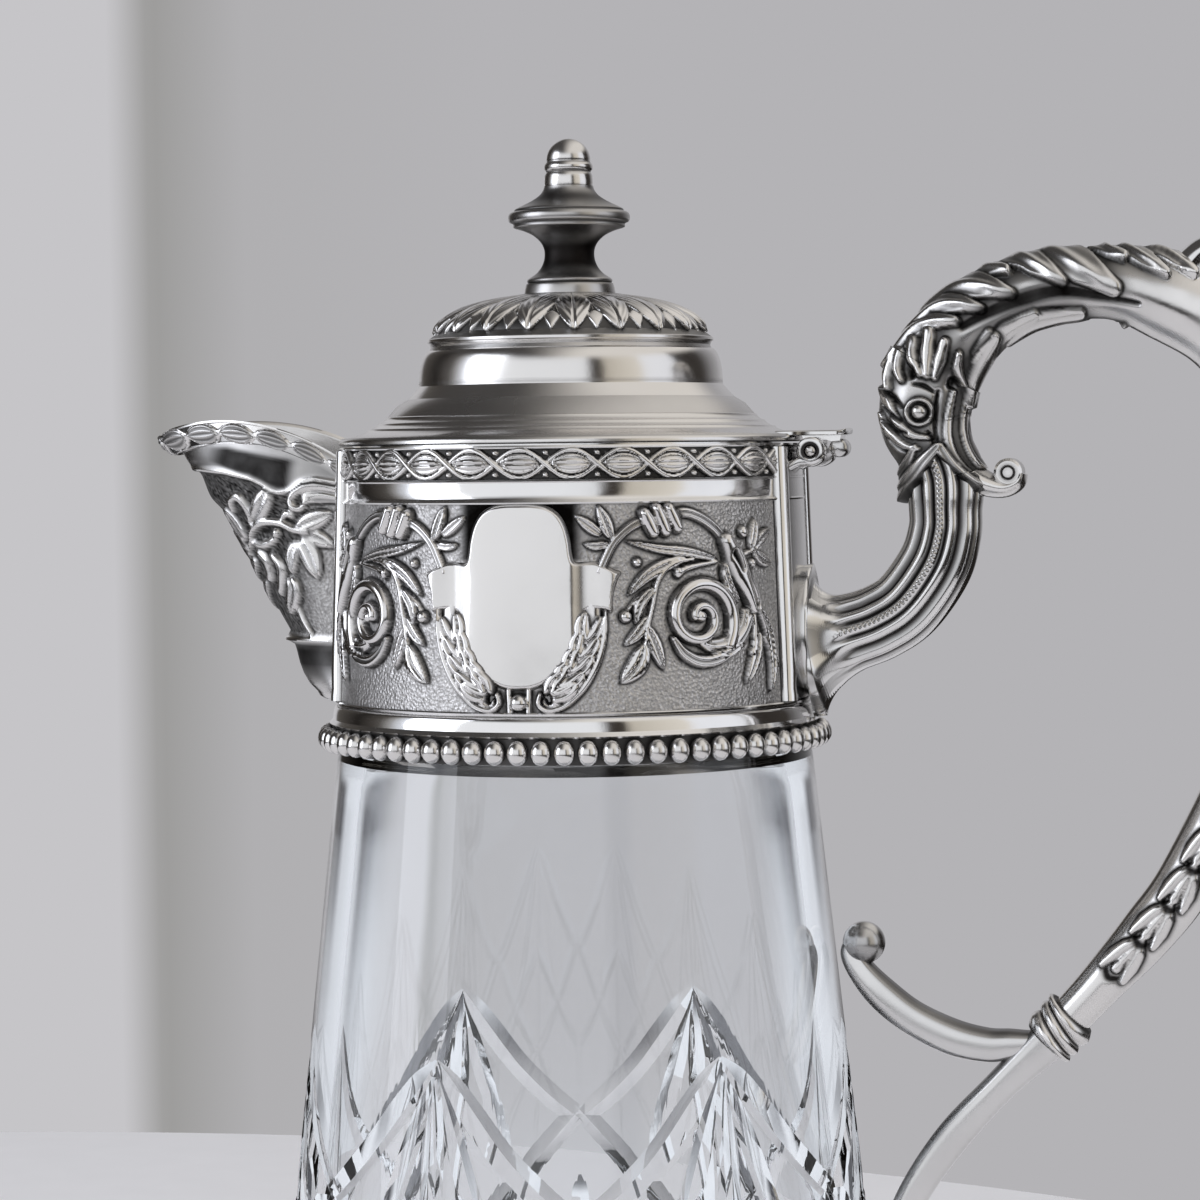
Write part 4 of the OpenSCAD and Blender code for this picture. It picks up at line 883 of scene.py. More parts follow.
def halfRound(angle, foot, top, radius, name):
    turn = np.linspace(-pi / 2 - 0.3, pi / 2 + 0.3, 18)
    rings = []
    for z in (foot, foot + 0.15, foot + 0.6, foot + 1.2, *np.linspace(foot + 2.2, top - 1.4, 14), top - 0.7,
              top):
        size = radius * (1 - 0.12 * math.exp(-((z - foot - 1.9) / 0.4) ** 2))
        x, y = groundR(z) + size * np.cos(turn), size * np.sin(turn)
        rings.append(np.stack([x * math.cos(angle) - y * math.sin(angle),
                               x * math.sin(angle) + y * math.cos(angle),
                               np.full_like(x, z)], -1))
    rings = np.array(rings)
    # painted shade on both flanks of the wire, darkest where it meets the collar
    tone = np.tile(np.clip(np.abs(turn) - 1.25, 0, 0.5) * 2.4, (len(rings), 1))
    return addSkin(name, rings, polishedSilver, tarnishAndShade=tone)


def makeWires():
    for name, turns, node in (("spout_wire", (180 - 22.6, 180 + 22.6), "spout_side_wires"),
                              ("handle_wire", (-16.5, 16.5), "handle_side_wires")):
        for k, turn in enumerate(turns):
            wire = halfRound(math.radians(turn), 184.6, 231.35, 2.1 if name == "handle_wire" else 1.85,
                             f"{name}_{k + 1}")
            mount(wire, "jug", "silver_polished", *([node] if k == 0 else []))


def makeHandlePanel():
    # plain panel between the two wires on the handle side
    angle = np.radians(np.linspace(-14.5, 14.5, 48))
    rings = []
    for z in (184.6, 185, 200, 215, 231, 231.3):
        outer = groundR(z) + 0.62 - 0.15 * (z in (184.6, 231.3))
        outline = [(outer * math.cos(a), outer * math.sin(a), z) for a in angle]
        outline += [((groundR(z) - 0.3) * math.cos(a), (groundR(z) - 0.3) * math.sin(a), z)
                    for a in angle[::-1]]
        rings.append(outline)
    # painted shade: darker towards the wires at each side, and the hidden inner face darker still
    tone = np.concatenate([0.2 + 0.5 * np.abs(angle / angle[-1]) ** 3, np.full(48, 0.5)])
    mount(addSkin("handle_panel", np.array(rings), polishedSilver, tarnishAndShade=np.tile(tone, (6, 1))), "jug",
          "silver_polished")


makeCollarShell()
makeHandlePanel()
makeBeads()
makeLeafBand()
makeFrieze()
makeCartouches()
makeWires()
print("collar made")


# Spout

spout = {
    "reach": 39.5, "half": 20, "lip": 229, "tipRise": 5.8, "foot": 184.6, "ledge": 195.1, "wall": 1.1,
    # the way from the side towards the keel, and the height there of the wavy rolled edge of the flare
    "edge": ((0, 3, 6, 8.5, 10.5, 12, 13.5, 15, 17, 20, 26, 33, 45),
             (224.9, 225.4, 225.9, 225.5, 224.3, 223.5, 223.4, 223.9, 225, 226.2, 227.4, 228, 228.2)),
    # the same for the middle of the flare's hollow and for the foot of its dark wedge, a painted dark
    # reflection
    "hollow": ((0, 8, 16, 26, 45), (226.8, 227.9, 229, 230.8, 231.6)),
    "wedge": ((10, 12.5, 15, 18, 22, 27, 34), (223.6, 223, 223.6, 225.4, 227, 228.8, 230.6)),
    "groundTone": 0.86, "groundFade": 0.4, "groundSpread": 0.08,
    "borderPitch": 7.6, "borderLeafHalf": 3.3, "borderLeafHalfHeight": 1.8,
}


def spoutGrid(rows, count, half):
    # rows of reach, height at the sides and height at the keel
    t = np.linspace(-pi / 2, pi / 2, count)
    s, g = np.sin(t), np.cos(t)
    out = []
    for reach, sideZ, keelZ, bow in rows:
        swell = 24 * g - (24 - spout["tipRise"]) * g * g
        z = sideZ + swell * bow + (keelZ - sideZ - spout["tipRise"] * bow) * g
        r = groundR(z) + 0.05
        angle = np.radians(half) * s
        out.append(np.stack([-r * np.cos(angle) - reach * g, -r * np.sin(angle), z], -1))
    return np.array(out)


def awayFromJug(grid):
    normal = np.cross(np.gradient(grid, axis=0), np.gradient(grid, axis=1))
    normal /= np.maximum(np.linalg.norm(normal, axis=2, keepdims=True), 1e-9)
    return -normal if normal[len(grid) // 2, grid.shape[1] // 2, 0] > 0 else normal


# one half of the panel laid flat: x is the way from the side towards the keel
panelStrokes = [
    # volute and leaves beside the wire
    (stampTube, [(1, 224.2), (4.6, 225), (8, 224.8), (10.4, 223.2), (10.6, 221.2), (8.6, 220.6), (7.6, 222)],
     (0.8, 1.0, 1.1, 1.0, 0.8, 0.7, 0.6), 1.1, 0.3),
    (stampLobe, [(1.6, 222.7), (4.6, 223.2), (7.4, 222.8)], (1.1, 1.7, 1.3), 0.85, 2),
    (stampLeaf, [(9.6, 217), (6.4, 218.2), (2, 219.8)], 2.0, 1.0, 0.5),
    (stampLeaf, [(8.8, 214.8), (6.8, 212.2), (4.6, 207.4)], 2.1, 1.0, 0.5),
    (stampLeaf, [(8.8, 215.8), (5.4, 215.2), (1.6, 213.4)], 1.5, 0.8, 0.5),
    (stampLeaf, [(9.2, 214.4), (10.6, 212), (10.4, 208.2)], 1.6, 0.9),
    (stampLobe, [(12.8, 218.4), (11.8, 219.8), (10.6, 219.4)], (0.6, 0.9, 0.7), 0.9, 1),
    # arch of the stem with the leaves that spring from it
    (stampTube, [(21.6, 213.4), (20.4, 216.4), (17.4, 218.1), (13.2, 218), (10.2, 216.8), (7.4, 216.2)],
     (0.6, 0.8, 0.85, 0.8, 0.8, 0.6), 1.1, 0.3),
    (stampLeaf, [(19.4, 218.2), (17.4, 221.2), (15.0, 225.2)], 2.3, 1.1),
    (stampTube, [(20.4, 218), (21, 220.8), (23, 223), (25.2, 222.2), (24.8, 220.4)],
     (0.6, 0.8, 0.9, 0.8, 0.5), 1.0, 0.3),
    (stampBall, (14, 216.1), 1.0, 1.2),
    (stampLobe, [(20.2, 214.2), (17.6, 213.8), (14.6, 214.8)], (0.7, 1.05, 0.7), 1.0, 1),
    (stampLobe, [(19.4, 212.4), (17.4, 210.8), (16.8, 207.8)], (0.9, 1.6, 1.2), 1.1, 1),
    (stampLobe, [(15.4, 211.8), (13.4, 209.4), (14.0, 205.2)], (0.8, 1.6, 1.1), 1.05, 1),
    (carve, [(17.4, 216.3), (16.4, 216.4)], (0.9, 0.8), 0.5),
    # tail of the stem
    (stampLeaf, [(11.2, 207.8), (10.6, 204.8), (12, 200.6)], 2.1, 1.1),
    (stampTube, [(12.6, 204.6), (10.2, 202.6), (8.6, 199.6), (6.6, 197)], (0.4, 0.55, 0.55, 0.4), 0.8, 0.4),
    # palmette on the keel
    (stampLeaf, [(22.6, 214.6), (25.4, 217), (28.6, 221)], 2.0, 0.9),
    (stampLeaf, [(22.4, 212.4), (25.6, 213.2), (29.4, 216.4)], 2.0, 0.9),
    (stampLeaf, [(21, 210.4), (24, 209.4), (27, 206.2)], 1.9, 0.9),
    (stampLeaf, [(19, 206.8), (21.2, 204.6), (23, 201.2)], 1.6, 0.8),
]


def makeSpout():
    p = spout
    reach, lip, rise, ledge, foot = p["reach"], p["lip"], p["tipRise"], p["ledge"], p["foot"]
    panelTop = lip - 5

    def panelZ(t):
        return panelTop + (ledge - panelTop) * t

    key = [(reach * 0.86, lip - 3.6, lip + rise - 3.6, 1), (reach * 0.842, panelTop + 0.9, lip + 1.1, 0.3),
           (reach * 0.81, panelTop + 0.2, lip - 0.5, 0), (reach * 0.77, panelTop - 0.7, lip - 1.9, 0)]
    key += [(reach * r, panelZ(a), panelZ(b), 0) for r, a, b in
            ((0.72, 0.08, 0.04), (0.65, 0.18, 0.14), (0.59, 0.3, 0.26), (0.51, 0.45, 0.43), (0.44, 0.6, 0.6),
             (0.36, 0.78, 0.78), (0.29, 0.93, 0.93))]
    upper = smoothLine(key, 9)
    shell = spoutGrid(upper, 160, p["half"])
    canvas = newCanvas(0, 45, 194, 231, 0.22)
    pressAll(canvas, panelStrokes)
    run = np.linalg.norm(np.diff(shell, axis=1), axis=2)
    across = np.concatenate([np.zeros((len(shell), 1)), np.cumsum(run, 1)], 1)
    across = np.minimum(across, across[:, -1:] - across)
    z = shell[..., 2]
    # the flare ends in a rolled edge over the panel
    edgeZ = np.interp(across, *p["edge"])
    inPanel = ramp(edgeZ - z, 0, 0.4) * ramp(across, 0.6, 1.2) * ramp(z, 196.2, 196.8)
    roll = np.exp(-((z - edgeZ - 0.35) / 0.5) ** 2) * ramp(across, 0.6, 1.2)
    lift = sample(canvas, canvas["height"], across, z)
    raised = ramp(lift, 0.05, 0.3)
    keel = 1 - 0.45 * ramp(across / across.max(1, keepdims=True), 0.8, 1)
    lift = lift * keel * inPanel - 0.25 * inPanel + 0.35 * roll
    outer = shell + awayFromJug(shell) * lift[..., None]
    pale = 1 - ramp(across, 4, 11)
    ground = p["groundTone"] - p["groundFade"] * pale + p["groundSpread"] * rng.standard_normal(lift.shape)
    tone = np.maximum(sample(canvas, canvas["oxide"], across, z),
                      np.where(raised > 0.5, 0.12 - 0.1 * pale, ground))
    hollow = np.interp(across, *p["hollow"])
    # painted dark reflection: one wedge, which widens from the tip towards the scroll
    wedge = ramp(z - np.interp(across, *p["wedge"]), -0.5, 0.7) * ramp(hollow + 1.7 - z, -0.5, 0.7)
    wedge = wedge * ramp(across, 9.5, 12.5) * (1 - ramp(across, 26, 33))
    # the plain flare is darkened all over and more towards the side: painted dark reflection
    cove = 0.42 + 0.55 * wedge + 0.15 * ramp(10 - across, 0, 6)
    tone = tone * inPanel + (1 - inPanel) * cove * ramp(z, 197, 199) * (1 - roll)
    # painted shade: a dark line under the rolled edge
    tone = np.maximum(tone, 0.9 * np.exp(-((z - edgeZ + 0.3) / 0.3) ** 2) * ramp(across, 0.6, 1.2))
    dull = inPanel * (1 - raised)
    low = [(reach * 0.3, ledge + 1.0), (reach * 0.312, ledge + 0.8), (reach * 0.312, ledge + 0.35),
           (reach * 0.29, ledge + 0.1), (reach * 0.26, ledge - 0.5), (reach * 0.25, ledge - 1.6),
           (reach * 0.232, ledge - 4), (reach * 0.21, ledge - 6), (reach * 0.175, ledge - 8),
           (reach * 0.135, foot + 1.2), (reach * 0.12, foot + 0.35), (reach * 0.1, foot), (0, foot)]
    lower = spoutGrid([(r, h, h, 0) for r, h in low], 160, p["half"])
    # painted shade in the undercut below the ledge
    underLedgeShade = (0, 0, 0.1, 0.5, 0.9, 0.95, 0.92, 0.6, 0.12, 0, 0, 0.3, 0.3)
    inside = [(0, 196.5, 196.5, 0), (reach * 0.1, 196.9, 196.9, 0), (reach * 0.24, 197.4, 197.4, 0)]
    inside += [(reach * r - 1.3 * p["wall"], panelZ(a), panelZ(b), 0) for r, a, b in
               ((0.36, 0.78, 0.78), (0.44, 0.6, 0.6), (0.51, 0.45, 0.43), (0.59, 0.3, 0.26),
                (0.65, 0.18, 0.14), (0.72, 0.08, 0.04))]
    inside += [(reach * 0.775 - 1.3 * p["wall"], panelTop - 0.4, lip - 1.6, 0),
               (reach * 0.84 - 1.3 * p["wall"], panelTop + 1, lip + 1, 0.3),
               (reach - 5.4, lip - 2.6, lip + rise - 2.4, 1), (reach - 3, lip + 0.2, lip + rise + 0.2, 1)]
    inner = spoutGrid(smoothLine(inside, 4), 160, p["half"] - 1.8)
    rim = spoutGrid([(reach - 2.5, lip + 0.62, lip + rise + 0.62, 1),
                     (reach - 1.7, lip + 0.68, lip + rise + 0.68, 1),
                     (reach - 1.3, lip + 0.3, lip + rise + 0.3, 1),
                     (reach - 1.6, lip - 0.8, lip + rise - 0.8, 1)],
                    160, p["half"] - 0.7)
    rings = np.concatenate([rim, outer, lower, inner]).transpose(1, 0, 2)
    toneAll = np.concatenate([np.zeros((len(rim), 160)), tone, np.tile(np.array(underLedgeShade)[:, None], (1, 160)),
                              np.full((len(inner), 160), 0.12)])
    mattAll = np.concatenate([np.zeros((len(rim), 160)), dull, np.zeros((len(lower) + len(inner), 160))])
    piece = addSkin("spout_body", rings, chasedSilver, tarnishAndShade=toneAll.T, sharp=60, matt=mattAll.T)
    mount(piece, "jug", "silver_chased", "spout_shell")


def makeSpoutBorder():
    p = spout
    reach, lip, rise = p["reach"], p["lip"], p["tipRise"]
    rows = smoothLine([(reach - 1.25, lip + 0.35, lip + rise + 0.35, 1),
                       (reach - 0.35, lip - 0.1, lip + rise, 1),
                       (reach - 0.6, lip - 1.1, lip + rise - 1.1, 1),
                       (reach - 1.6, lip - 2.3, lip + rise - 2.4, 1),
                       (reach - 3.1, lip - 3.5, lip + rise - 3.6, 1),
                       (reach - 4.1, lip - 3.7, lip + rise - 3.8, 1)], 7)
    count = 420
    grid = spoutGrid(rows, count, p["half"] - 0.35)
    middle = grid[len(grid) // 2]
    length = np.concatenate([[0], np.cumsum(np.linalg.norm(np.diff(middle, axis=0), axis=1))])
    x = length - length[-1] / 2
    pitch = length[-1] / round(length[-1] / p["borderPitch"])
    high = p["borderLeafHalfHeight"]
    v = np.linspace(-2.6, 2.6, len(grid))[:, None]
    phase = (x / pitch)[None, :] + 0 * v
    u = (phase - np.round(phase)) * pitch
    half = high * np.clip(1 - (u / p["borderLeafHalf"]) ** 2, 0, 1) ** 0.6
    inside = np.abs(v) < half
    w = v / np.maximum(half, 0.05)
    lift = np.where(inside, 0.35 + 0.55 * roundTop(w) - 0.2 * ripple(w * 2), 0)
    for sign in (-1, 1):
        slope = np.hypot(1, high * pi / pitch * np.sin(pi * phase))
        gap = np.abs(v - sign * high * np.cos(pi * phase)) / slope
        lift = np.where((gap < 0.4) & ~inside, np.maximum(lift, 0.2 + 0.3 * roundTop(gap / 0.4)), lift)
    edge = ramp(np.abs(v), 2.1, 2.35)
    lift = np.maximum(lift * (1 - edge), 0.45 * edge * (1 - ramp(np.abs(v), 2.45, 2.6)))
    outer = grid + awayFromJug(grid) * (lift - 0.45)[..., None]
    back = spoutGrid([(reach - 5.2, lip - 3.2, lip + rise - 3.2, 1),
                      (reach - 2.2, lip + 0.1, lip + rise + 0.1, 1)], count, p["half"] - 0.6)
    # darker veins and leaf edges, and near black on the low ground between the leaves: oxide and painted
    # shade
    tone = np.where(inside, 0.3 + 0.5 * ripple(w * 2) * (np.abs(w) < 0.72) + 0.5 * ramp(np.abs(w), 0.85, 1),
                    0.05)
    tone = np.where((lift < 0.2) & (np.abs(v) < 2.2), 0.97, tone)
    rings = np.concatenate([outer, back]).transpose(1, 0, 2)
    toneAll = np.concatenate([tone, np.full((2, count), 0.3)])
    piece = addSkin("spout_leaf_wire", rings, chasedSilver, tarnishAndShade=toneAll.T, sharp=60)
    mount(piece, "jug", "silver_chased", "spout_leaf_border")


makeSpout()
makeSpoutBorder()
print("spout made")


# Lid and finial

lid = {"z": 232.35, "flangeR": 44, "bulgeR": 28.8, "capR": 26.2, "capH": 8.6, "slopeTop": 243.35,
       "bulgeTop": 252.35,
       "top": 259.95, "leaves": 19, "holeR": 8.75,
       # steps turned into the slope: share of the way up, width and weight
       "steps": ((0.34, 0.018, 1), (0.47, 0.018, 1), (0.58, 0.018, 1), (0.79, 0.022, 1.2)), "stepRise": 0.16,
       # two tiers of leaves: shift, height, length, half width and bend
       "tiers": ((0.5, 0.55, 0.3, 0.2, 1.0), (0.0, 1.25, 0.62, 0.5, 0.62))}


def makeLid():
    c = lid
    z, top = c["z"], c["slopeTop"]
    slope = []
    for t in np.linspace(0, 1, 60):
        x = c["flangeR"] - 0.6 + (c["bulgeR"] - c["flangeR"] + 0.6) * t
        h = z + 1.4 + (top - z - 1.4) * t ** 1.75
        step = c["stepRise"] * sum(k * np.exp(-((t - at) / wide) ** 2) for at, wide, k in c["steps"])
        slope.append((x + step, h + step))
    bulge = [(c["capR"] + 0.5 + 2.1 * math.cos(a), top + 0.4 + 6.4 * math.sin(a))
             for a in np.linspace(0, pi / 2, 14)]
    waist = [(c["capR"] + 0.25, top + 7.4), (c["capR"] + 0.5, top + 8.0), (c["capR"] + 0.9, top + 8.3),
             (c["capR"] + 0.9, top + 8.75),
             (c["capR"] + 0.5, c["bulgeTop"])]
    dome = [((c["capR"] - 1.2) * math.sin(a) ** 0.9, c["bulgeTop"] + (c["capH"] - 1) * math.cos(a) ** 0.9)
            for a in np.radians([80, 66, 52, 38, 26])]
    flange = (-0.4, 0), (0, 0.15), (0.05, 0.55), (-0.1, 1.0), (-0.4, 1.22)
    outside = [(c["flangeR"] + dr, z + dz) for dr, dz in flange]
    outside += slope + bulge + waist + dome + [(c["holeR"], c["top"]), (1.6, c["top"])]
    inside = [(1.6, c["top"] - 1.1), (7.6, c["top"] - 1.1)]
    inside += [((c["capR"] - 2.5) * math.sin(a) ** 0.9,
                c["bulgeTop"] + (c["capH"] - 2.3) * math.cos(a) ** 0.9) for a in np.radians([30, 45, 60, 74])]
    inside += [(c["capR"] - 1.8, top + 6), (c["bulgeR"] - 1.4, top + 3), (c["bulgeR"] - 1.1, top - 0.4),
               (33, top - 3.6), (36.5, z + 3.4), (37.6, z + 1.6), (38.4, z)]
    profile = outside + inside
    # darker under the flange, in the waist's crease and over the parts hidden by the leaf dome: oxide and
    # painted shade
    tone = [0.5, 0.1, 0, 0, 0.35, 0.25] + [0] * (len(slope) - 1)
    tone += [0.25] + [0] * (len(bulge) - 3) + [0.05, 0.25]
    tone += [0.3, 0, 0, 0, 0.7] + [0.7] * 5 + [0.7, 0.4] + [0.2] * len(inside)
    piece = addTurned("lid_body", profile, spunSilver, columns=300, tarnishAndShade=tone, sharp=40)
    mount(piece, "lid", "silver_polished", "lid_shell")


def makeLeafDome():
    c = lid
    columns, rows = 900, 70
    v = np.linspace(0, 1, rows)[None, :]
    u = np.arange(columns)[:, None] / columns * c["leaves"]
    angle = np.radians(86 - 60 * v)
    r, h = (c["capR"] - 0.75) * np.sin(angle) ** 0.9, (c["capH"] - 0.5) * np.cos(angle) ** 0.9
    height = np.zeros((columns, rows)) + 0.05
    # a lower tier shows between the leaves of the upper one
    for shift, rise, reach, wide, bend in c["tiers"]:
        x = (u + shift) - np.round(u + shift)
        tip = 1 if shift == 0 else np.clip((0.42 - v) / 0.12, 0.01, 1) ** 0.6
        half = wide * np.clip(v / reach, 0, 1) ** bend * tip
        q = np.abs(x) / np.maximum(half, 0.01)
        leaf = rise * (0.5 + 0.5 * roundTop(q)) - 0.42 * rise * np.exp(-(x / 0.03) ** 2) * (shift == 0)
        leaf -= 0.13 * rise * ripple(v * 5.0 - np.abs(x) * 5.5) * (shift == 0) * ramp(q, 0.05, 0.3)
        height = np.where(q < 1, np.maximum(height, leaf), height)
    height *= 1 - 0.55 * v
    # oxide and painted shade in the hollows between leaves and on the low ground
    local = blur(blur(height, 6), 6)
    tone = np.clip((local - height) * 1.9, 0, 1)
    tone = np.where(height < 0.1, 0.92, tone) * 0.95
    turn = np.arange(columns)[:, None] * 2 * pi / columns
    radial = r + height * np.sin(angle)
    outer = np.stack([radial * np.cos(turn), radial * np.sin(turn),
                      c["bulgeTop"] + h + height * np.cos(angle)], -1)
    rim = []
    for rr, zz in ((c["holeR"], c["bulgeTop"] + c["capH"] - 0.25), (c["holeR"], c["top"] + 0.06), (18, 257.2),
                   (24.4, 253.4), (c["capR"] - 0.4, 252.4)):
        ring = np.concatenate([rr * np.cos(turn), rr * np.sin(turn), np.full_like(turn, zz)], 1)
        rim.append(ring[:, None, :])
    rings = np.concatenate([outer] + rim, 1)
    toneAll = np.concatenate([tone, np.full((columns, 5), 0.7)], 1)
    piece = addSkin("dome_leaves", rings, chasedSilver, wrap=True, tarnishAndShade=toneAll, sharp=65)
    mount(piece, "lid", "silver_chased", "lid_leaf_dome")


finial = {"foot": 260.0, "height": 21.0, "boreR": 1.56, "joint": 0.05}


def makeFinial():
    foot, h, bore = finial["foot"], finial["height"], finial["boreR"]
    line = [(8.6, 0), (8.65, 0.5), (8.5, 1.6), (8.25, 2.5), (7.9, 2.75), (8.05, 3.0), (8.0, 3.4), (7.3, 3.9),
            (6.3, 4.6), (5.4, 5.7), (4.85, 7.0), (4.7, 8.3), (4.9, 9.5), (5.6, 10.7), (7.0, 11.9),
            (8.9, 12.75), (10.1, 13.1), (10.6, 13.35), (10.55, 13.8), (10.75, 14.05), (11.3, 14.3),
            (11.5, 14.8), (11.5, 15.4), (11.2, 15.95), (10.6, 16.2), (10.35, 16.35), (10.2, 16.7),
            (9.0, 17.3), (7.2, 18.2), (5.7, 19.2), (4.9, 20.2), (4.65, 21.0)]
    profile = [(bore, 0)] + smoothLine(line, 3).tolist() + [(bore, h)]
    z = np.array([p[1] for p in profile])
    # darker all over, and darkest in the creases and the narrow waists, where shade is painted
    creases = (2.75, 0.25, 0.55), (13.9, 0.3, 0.5), (16.4, 0.25, 0.5)
    tone = sum(k * np.exp(-((z - at) / wide) ** 2) for at, wide, k in creases)
    tone += 0.7 * np.exp(-((z - 8.0) / 4.0) ** 4) + 0.6 * np.exp(-((z - 18.8) / 1.6) ** 2) + 0.32
    piece = addTurned("finial_stem", [(r, zz + foot) for r, zz in profile], spunSilver, columns=160,
                      tarnishAndShade=tone, sharp=60)
    mount(piece, "lid", "silver_polished", "finial_baluster")
    base = foot + h + finial["joint"]
    cap = [(bore, 0), (4.55, 0), (4.62, 0.5), (4.55, 1.9), (4.3, 2.4), (4.15, 2.65), (4.35, 2.9), (4.6, 3.15),
           (4.62, 3.6), (4.5, 4.1), (4.15, 4.4), (4.1, 4.7)]
    cap += [(4.18 * math.cos(a), 4.85 + 4.1 * math.sin(a)) for a in np.linspace(0, pi / 2, 14)[:-1]]
    cap += [(0.02, 8.95), (0.02, 4.4), (bore, 4.4)]
    zc = np.array([p[1] for p in cap])
    # painted shade in the two creases; the inside is darker
    tone = 0.6 * np.exp(-((zc - 2.65) / 0.25) ** 2) + 0.6 * np.exp(-((zc - 4.45) / 0.2) ** 2)
    tone[-2:] = 0.5
    piece = addTurned("finial_tip", [(r, zz + base) for r, zz in cap], spunSilver, columns=120, tarnishAndShade=tone,
                      sharp=60)
    mount(piece, "lid", "silver_polished", "finial_button")


makeLid()
makeLeafDome()
makeFinial()
print("lid made")


# Handle

handle = {
    "lineSteps": 12, "knotLength": 7.07, "knotTurns": 3, "knotLean": 1.3, "ballR": 4.0,
    "ballAt": (55.1, 138.3), "beakCurlAt": (82.9, 226.1),
    "flowers": 8, "firstFlower": 11.5, "flowerPitch": 8.4, "flowerLength": 8.6,
    # places along the middle line: x, z, half depth and half width
    "stations": [
        (46.2, 195.0, 10.8, 8.4), (49.7, 195.6, 8.5, 7.2), (53.3, 196.6, 7.4, 6.5), (58.6, 198.5, 7.2, 6.3),
        (63.9, 202.0, 7.1, 6.3), (68.9, 209.0, 7.05, 6.4), (70.8, 215.0, 6.9, 6.4), (71.0, 219.5, 6.9, 6.5),
        (70.8, 225.3, 7.6, 6.9), (69.1, 230.3, 7.3, 7.0), (67.3, 235.3, 8.3, 7.1), (67.6, 240.3, 8.5, 7.3),
        (69.4, 245.3, 8.4, 7.3), (74.3, 252.0, 8.0, 7.3), (81.6, 257.0, 7.5, 7.3), (90.5, 259.7, 7.2, 7.3),
        (103.0, 260.0, 7.1, 7.5), (114.6, 256.4, 8.0, 7.8), (122.8, 250.7, 7.9, 7.6),
        (129.0, 241.0, 7.4, 7.2), (133.5, 222.5, 6.7, 6.6), (133.1, 201.5, 6.3, 6.1),
        (127.5, 177.0, 5.8, 5.8), (115.7, 152.5, 5.4, 5.2), (108.0, 141.6, 5.1, 4.8), (99.4, 131.7, 4.2, 4.3),
        (93.9, 125.6, 3.9, 4.0), (89.1, 120.4, 3.7, 3.8), (80.6, 112.0, 3.0, 3.4), (72.0, 102.6, 3.2, 3.2),
        (65.4, 93.3, 3.0, 3.0), (61.2, 84.7, 2.7, 2.8), (59.7, 77.3, 2.4, 2.5), (61.2, 72.0, 2.2, 2.4),
        (64.3, 68.4, 2.1, 2.3), (68.4, 68.8, 2.0, 2.2), (70.2, 72.4, 1.9, 2.1), (67.8, 75.4, 1.8, 2.0),
        (65.4, 74.2, 1.7, 2.0)],
}
handleLine = smoothLine(handle["stations"], handle["lineSteps"])


def barGrid(line, sides, fromDir=None, toDir=None, square=1.0):
    # points, normals and angles of a bar whose rings stand square to its middle line
    direction = np.gradient(line[:, :2], axis=0)
    direction /= np.linalg.norm(direction, axis=1, keepdims=True)
    if fromDir is not None:
        direction[0] = fromDir
    if toDir is not None:
        direction[-1] = toDir
    angle = np.arange(sides) * 2 * pi / sides
    c, s = np.cos(angle), np.sin(angle)
    c, s = np.sign(c) * np.abs(c) ** square, np.sign(s) * np.abs(s) ** square
    across, wide = np.outer(line[:, 2], c), np.outer(line[:, 3], s)
    points = np.stack([line[:, :1] - across * direction[:, 1:], wide,
                       line[:, 1:2] + across * direction[:, :1]], -1)
    out = np.cos(angle)[None, :] / line[:, 2:3]
    off = np.sin(angle)[None, :] / line[:, 3:4]
    normal = np.stack([-out * direction[:, 1:], off, out * direction[:, :1]], -1)
    normal /= np.linalg.norm(normal, axis=2, keepdims=True)
    return points, normal, angle


def part(first, last):
    return handleLine[first * handle["lineSteps"]:last * handle["lineSteps"] + 1]


def denser(line, factor):
    t = np.arange(len(line))
    fine = np.linspace(0, len(line) - 1, (len(line) - 1) * factor + 1)
    return np.stack([np.interp(fine, t, line[:, k]) for k in range(line.shape[1])], -1)


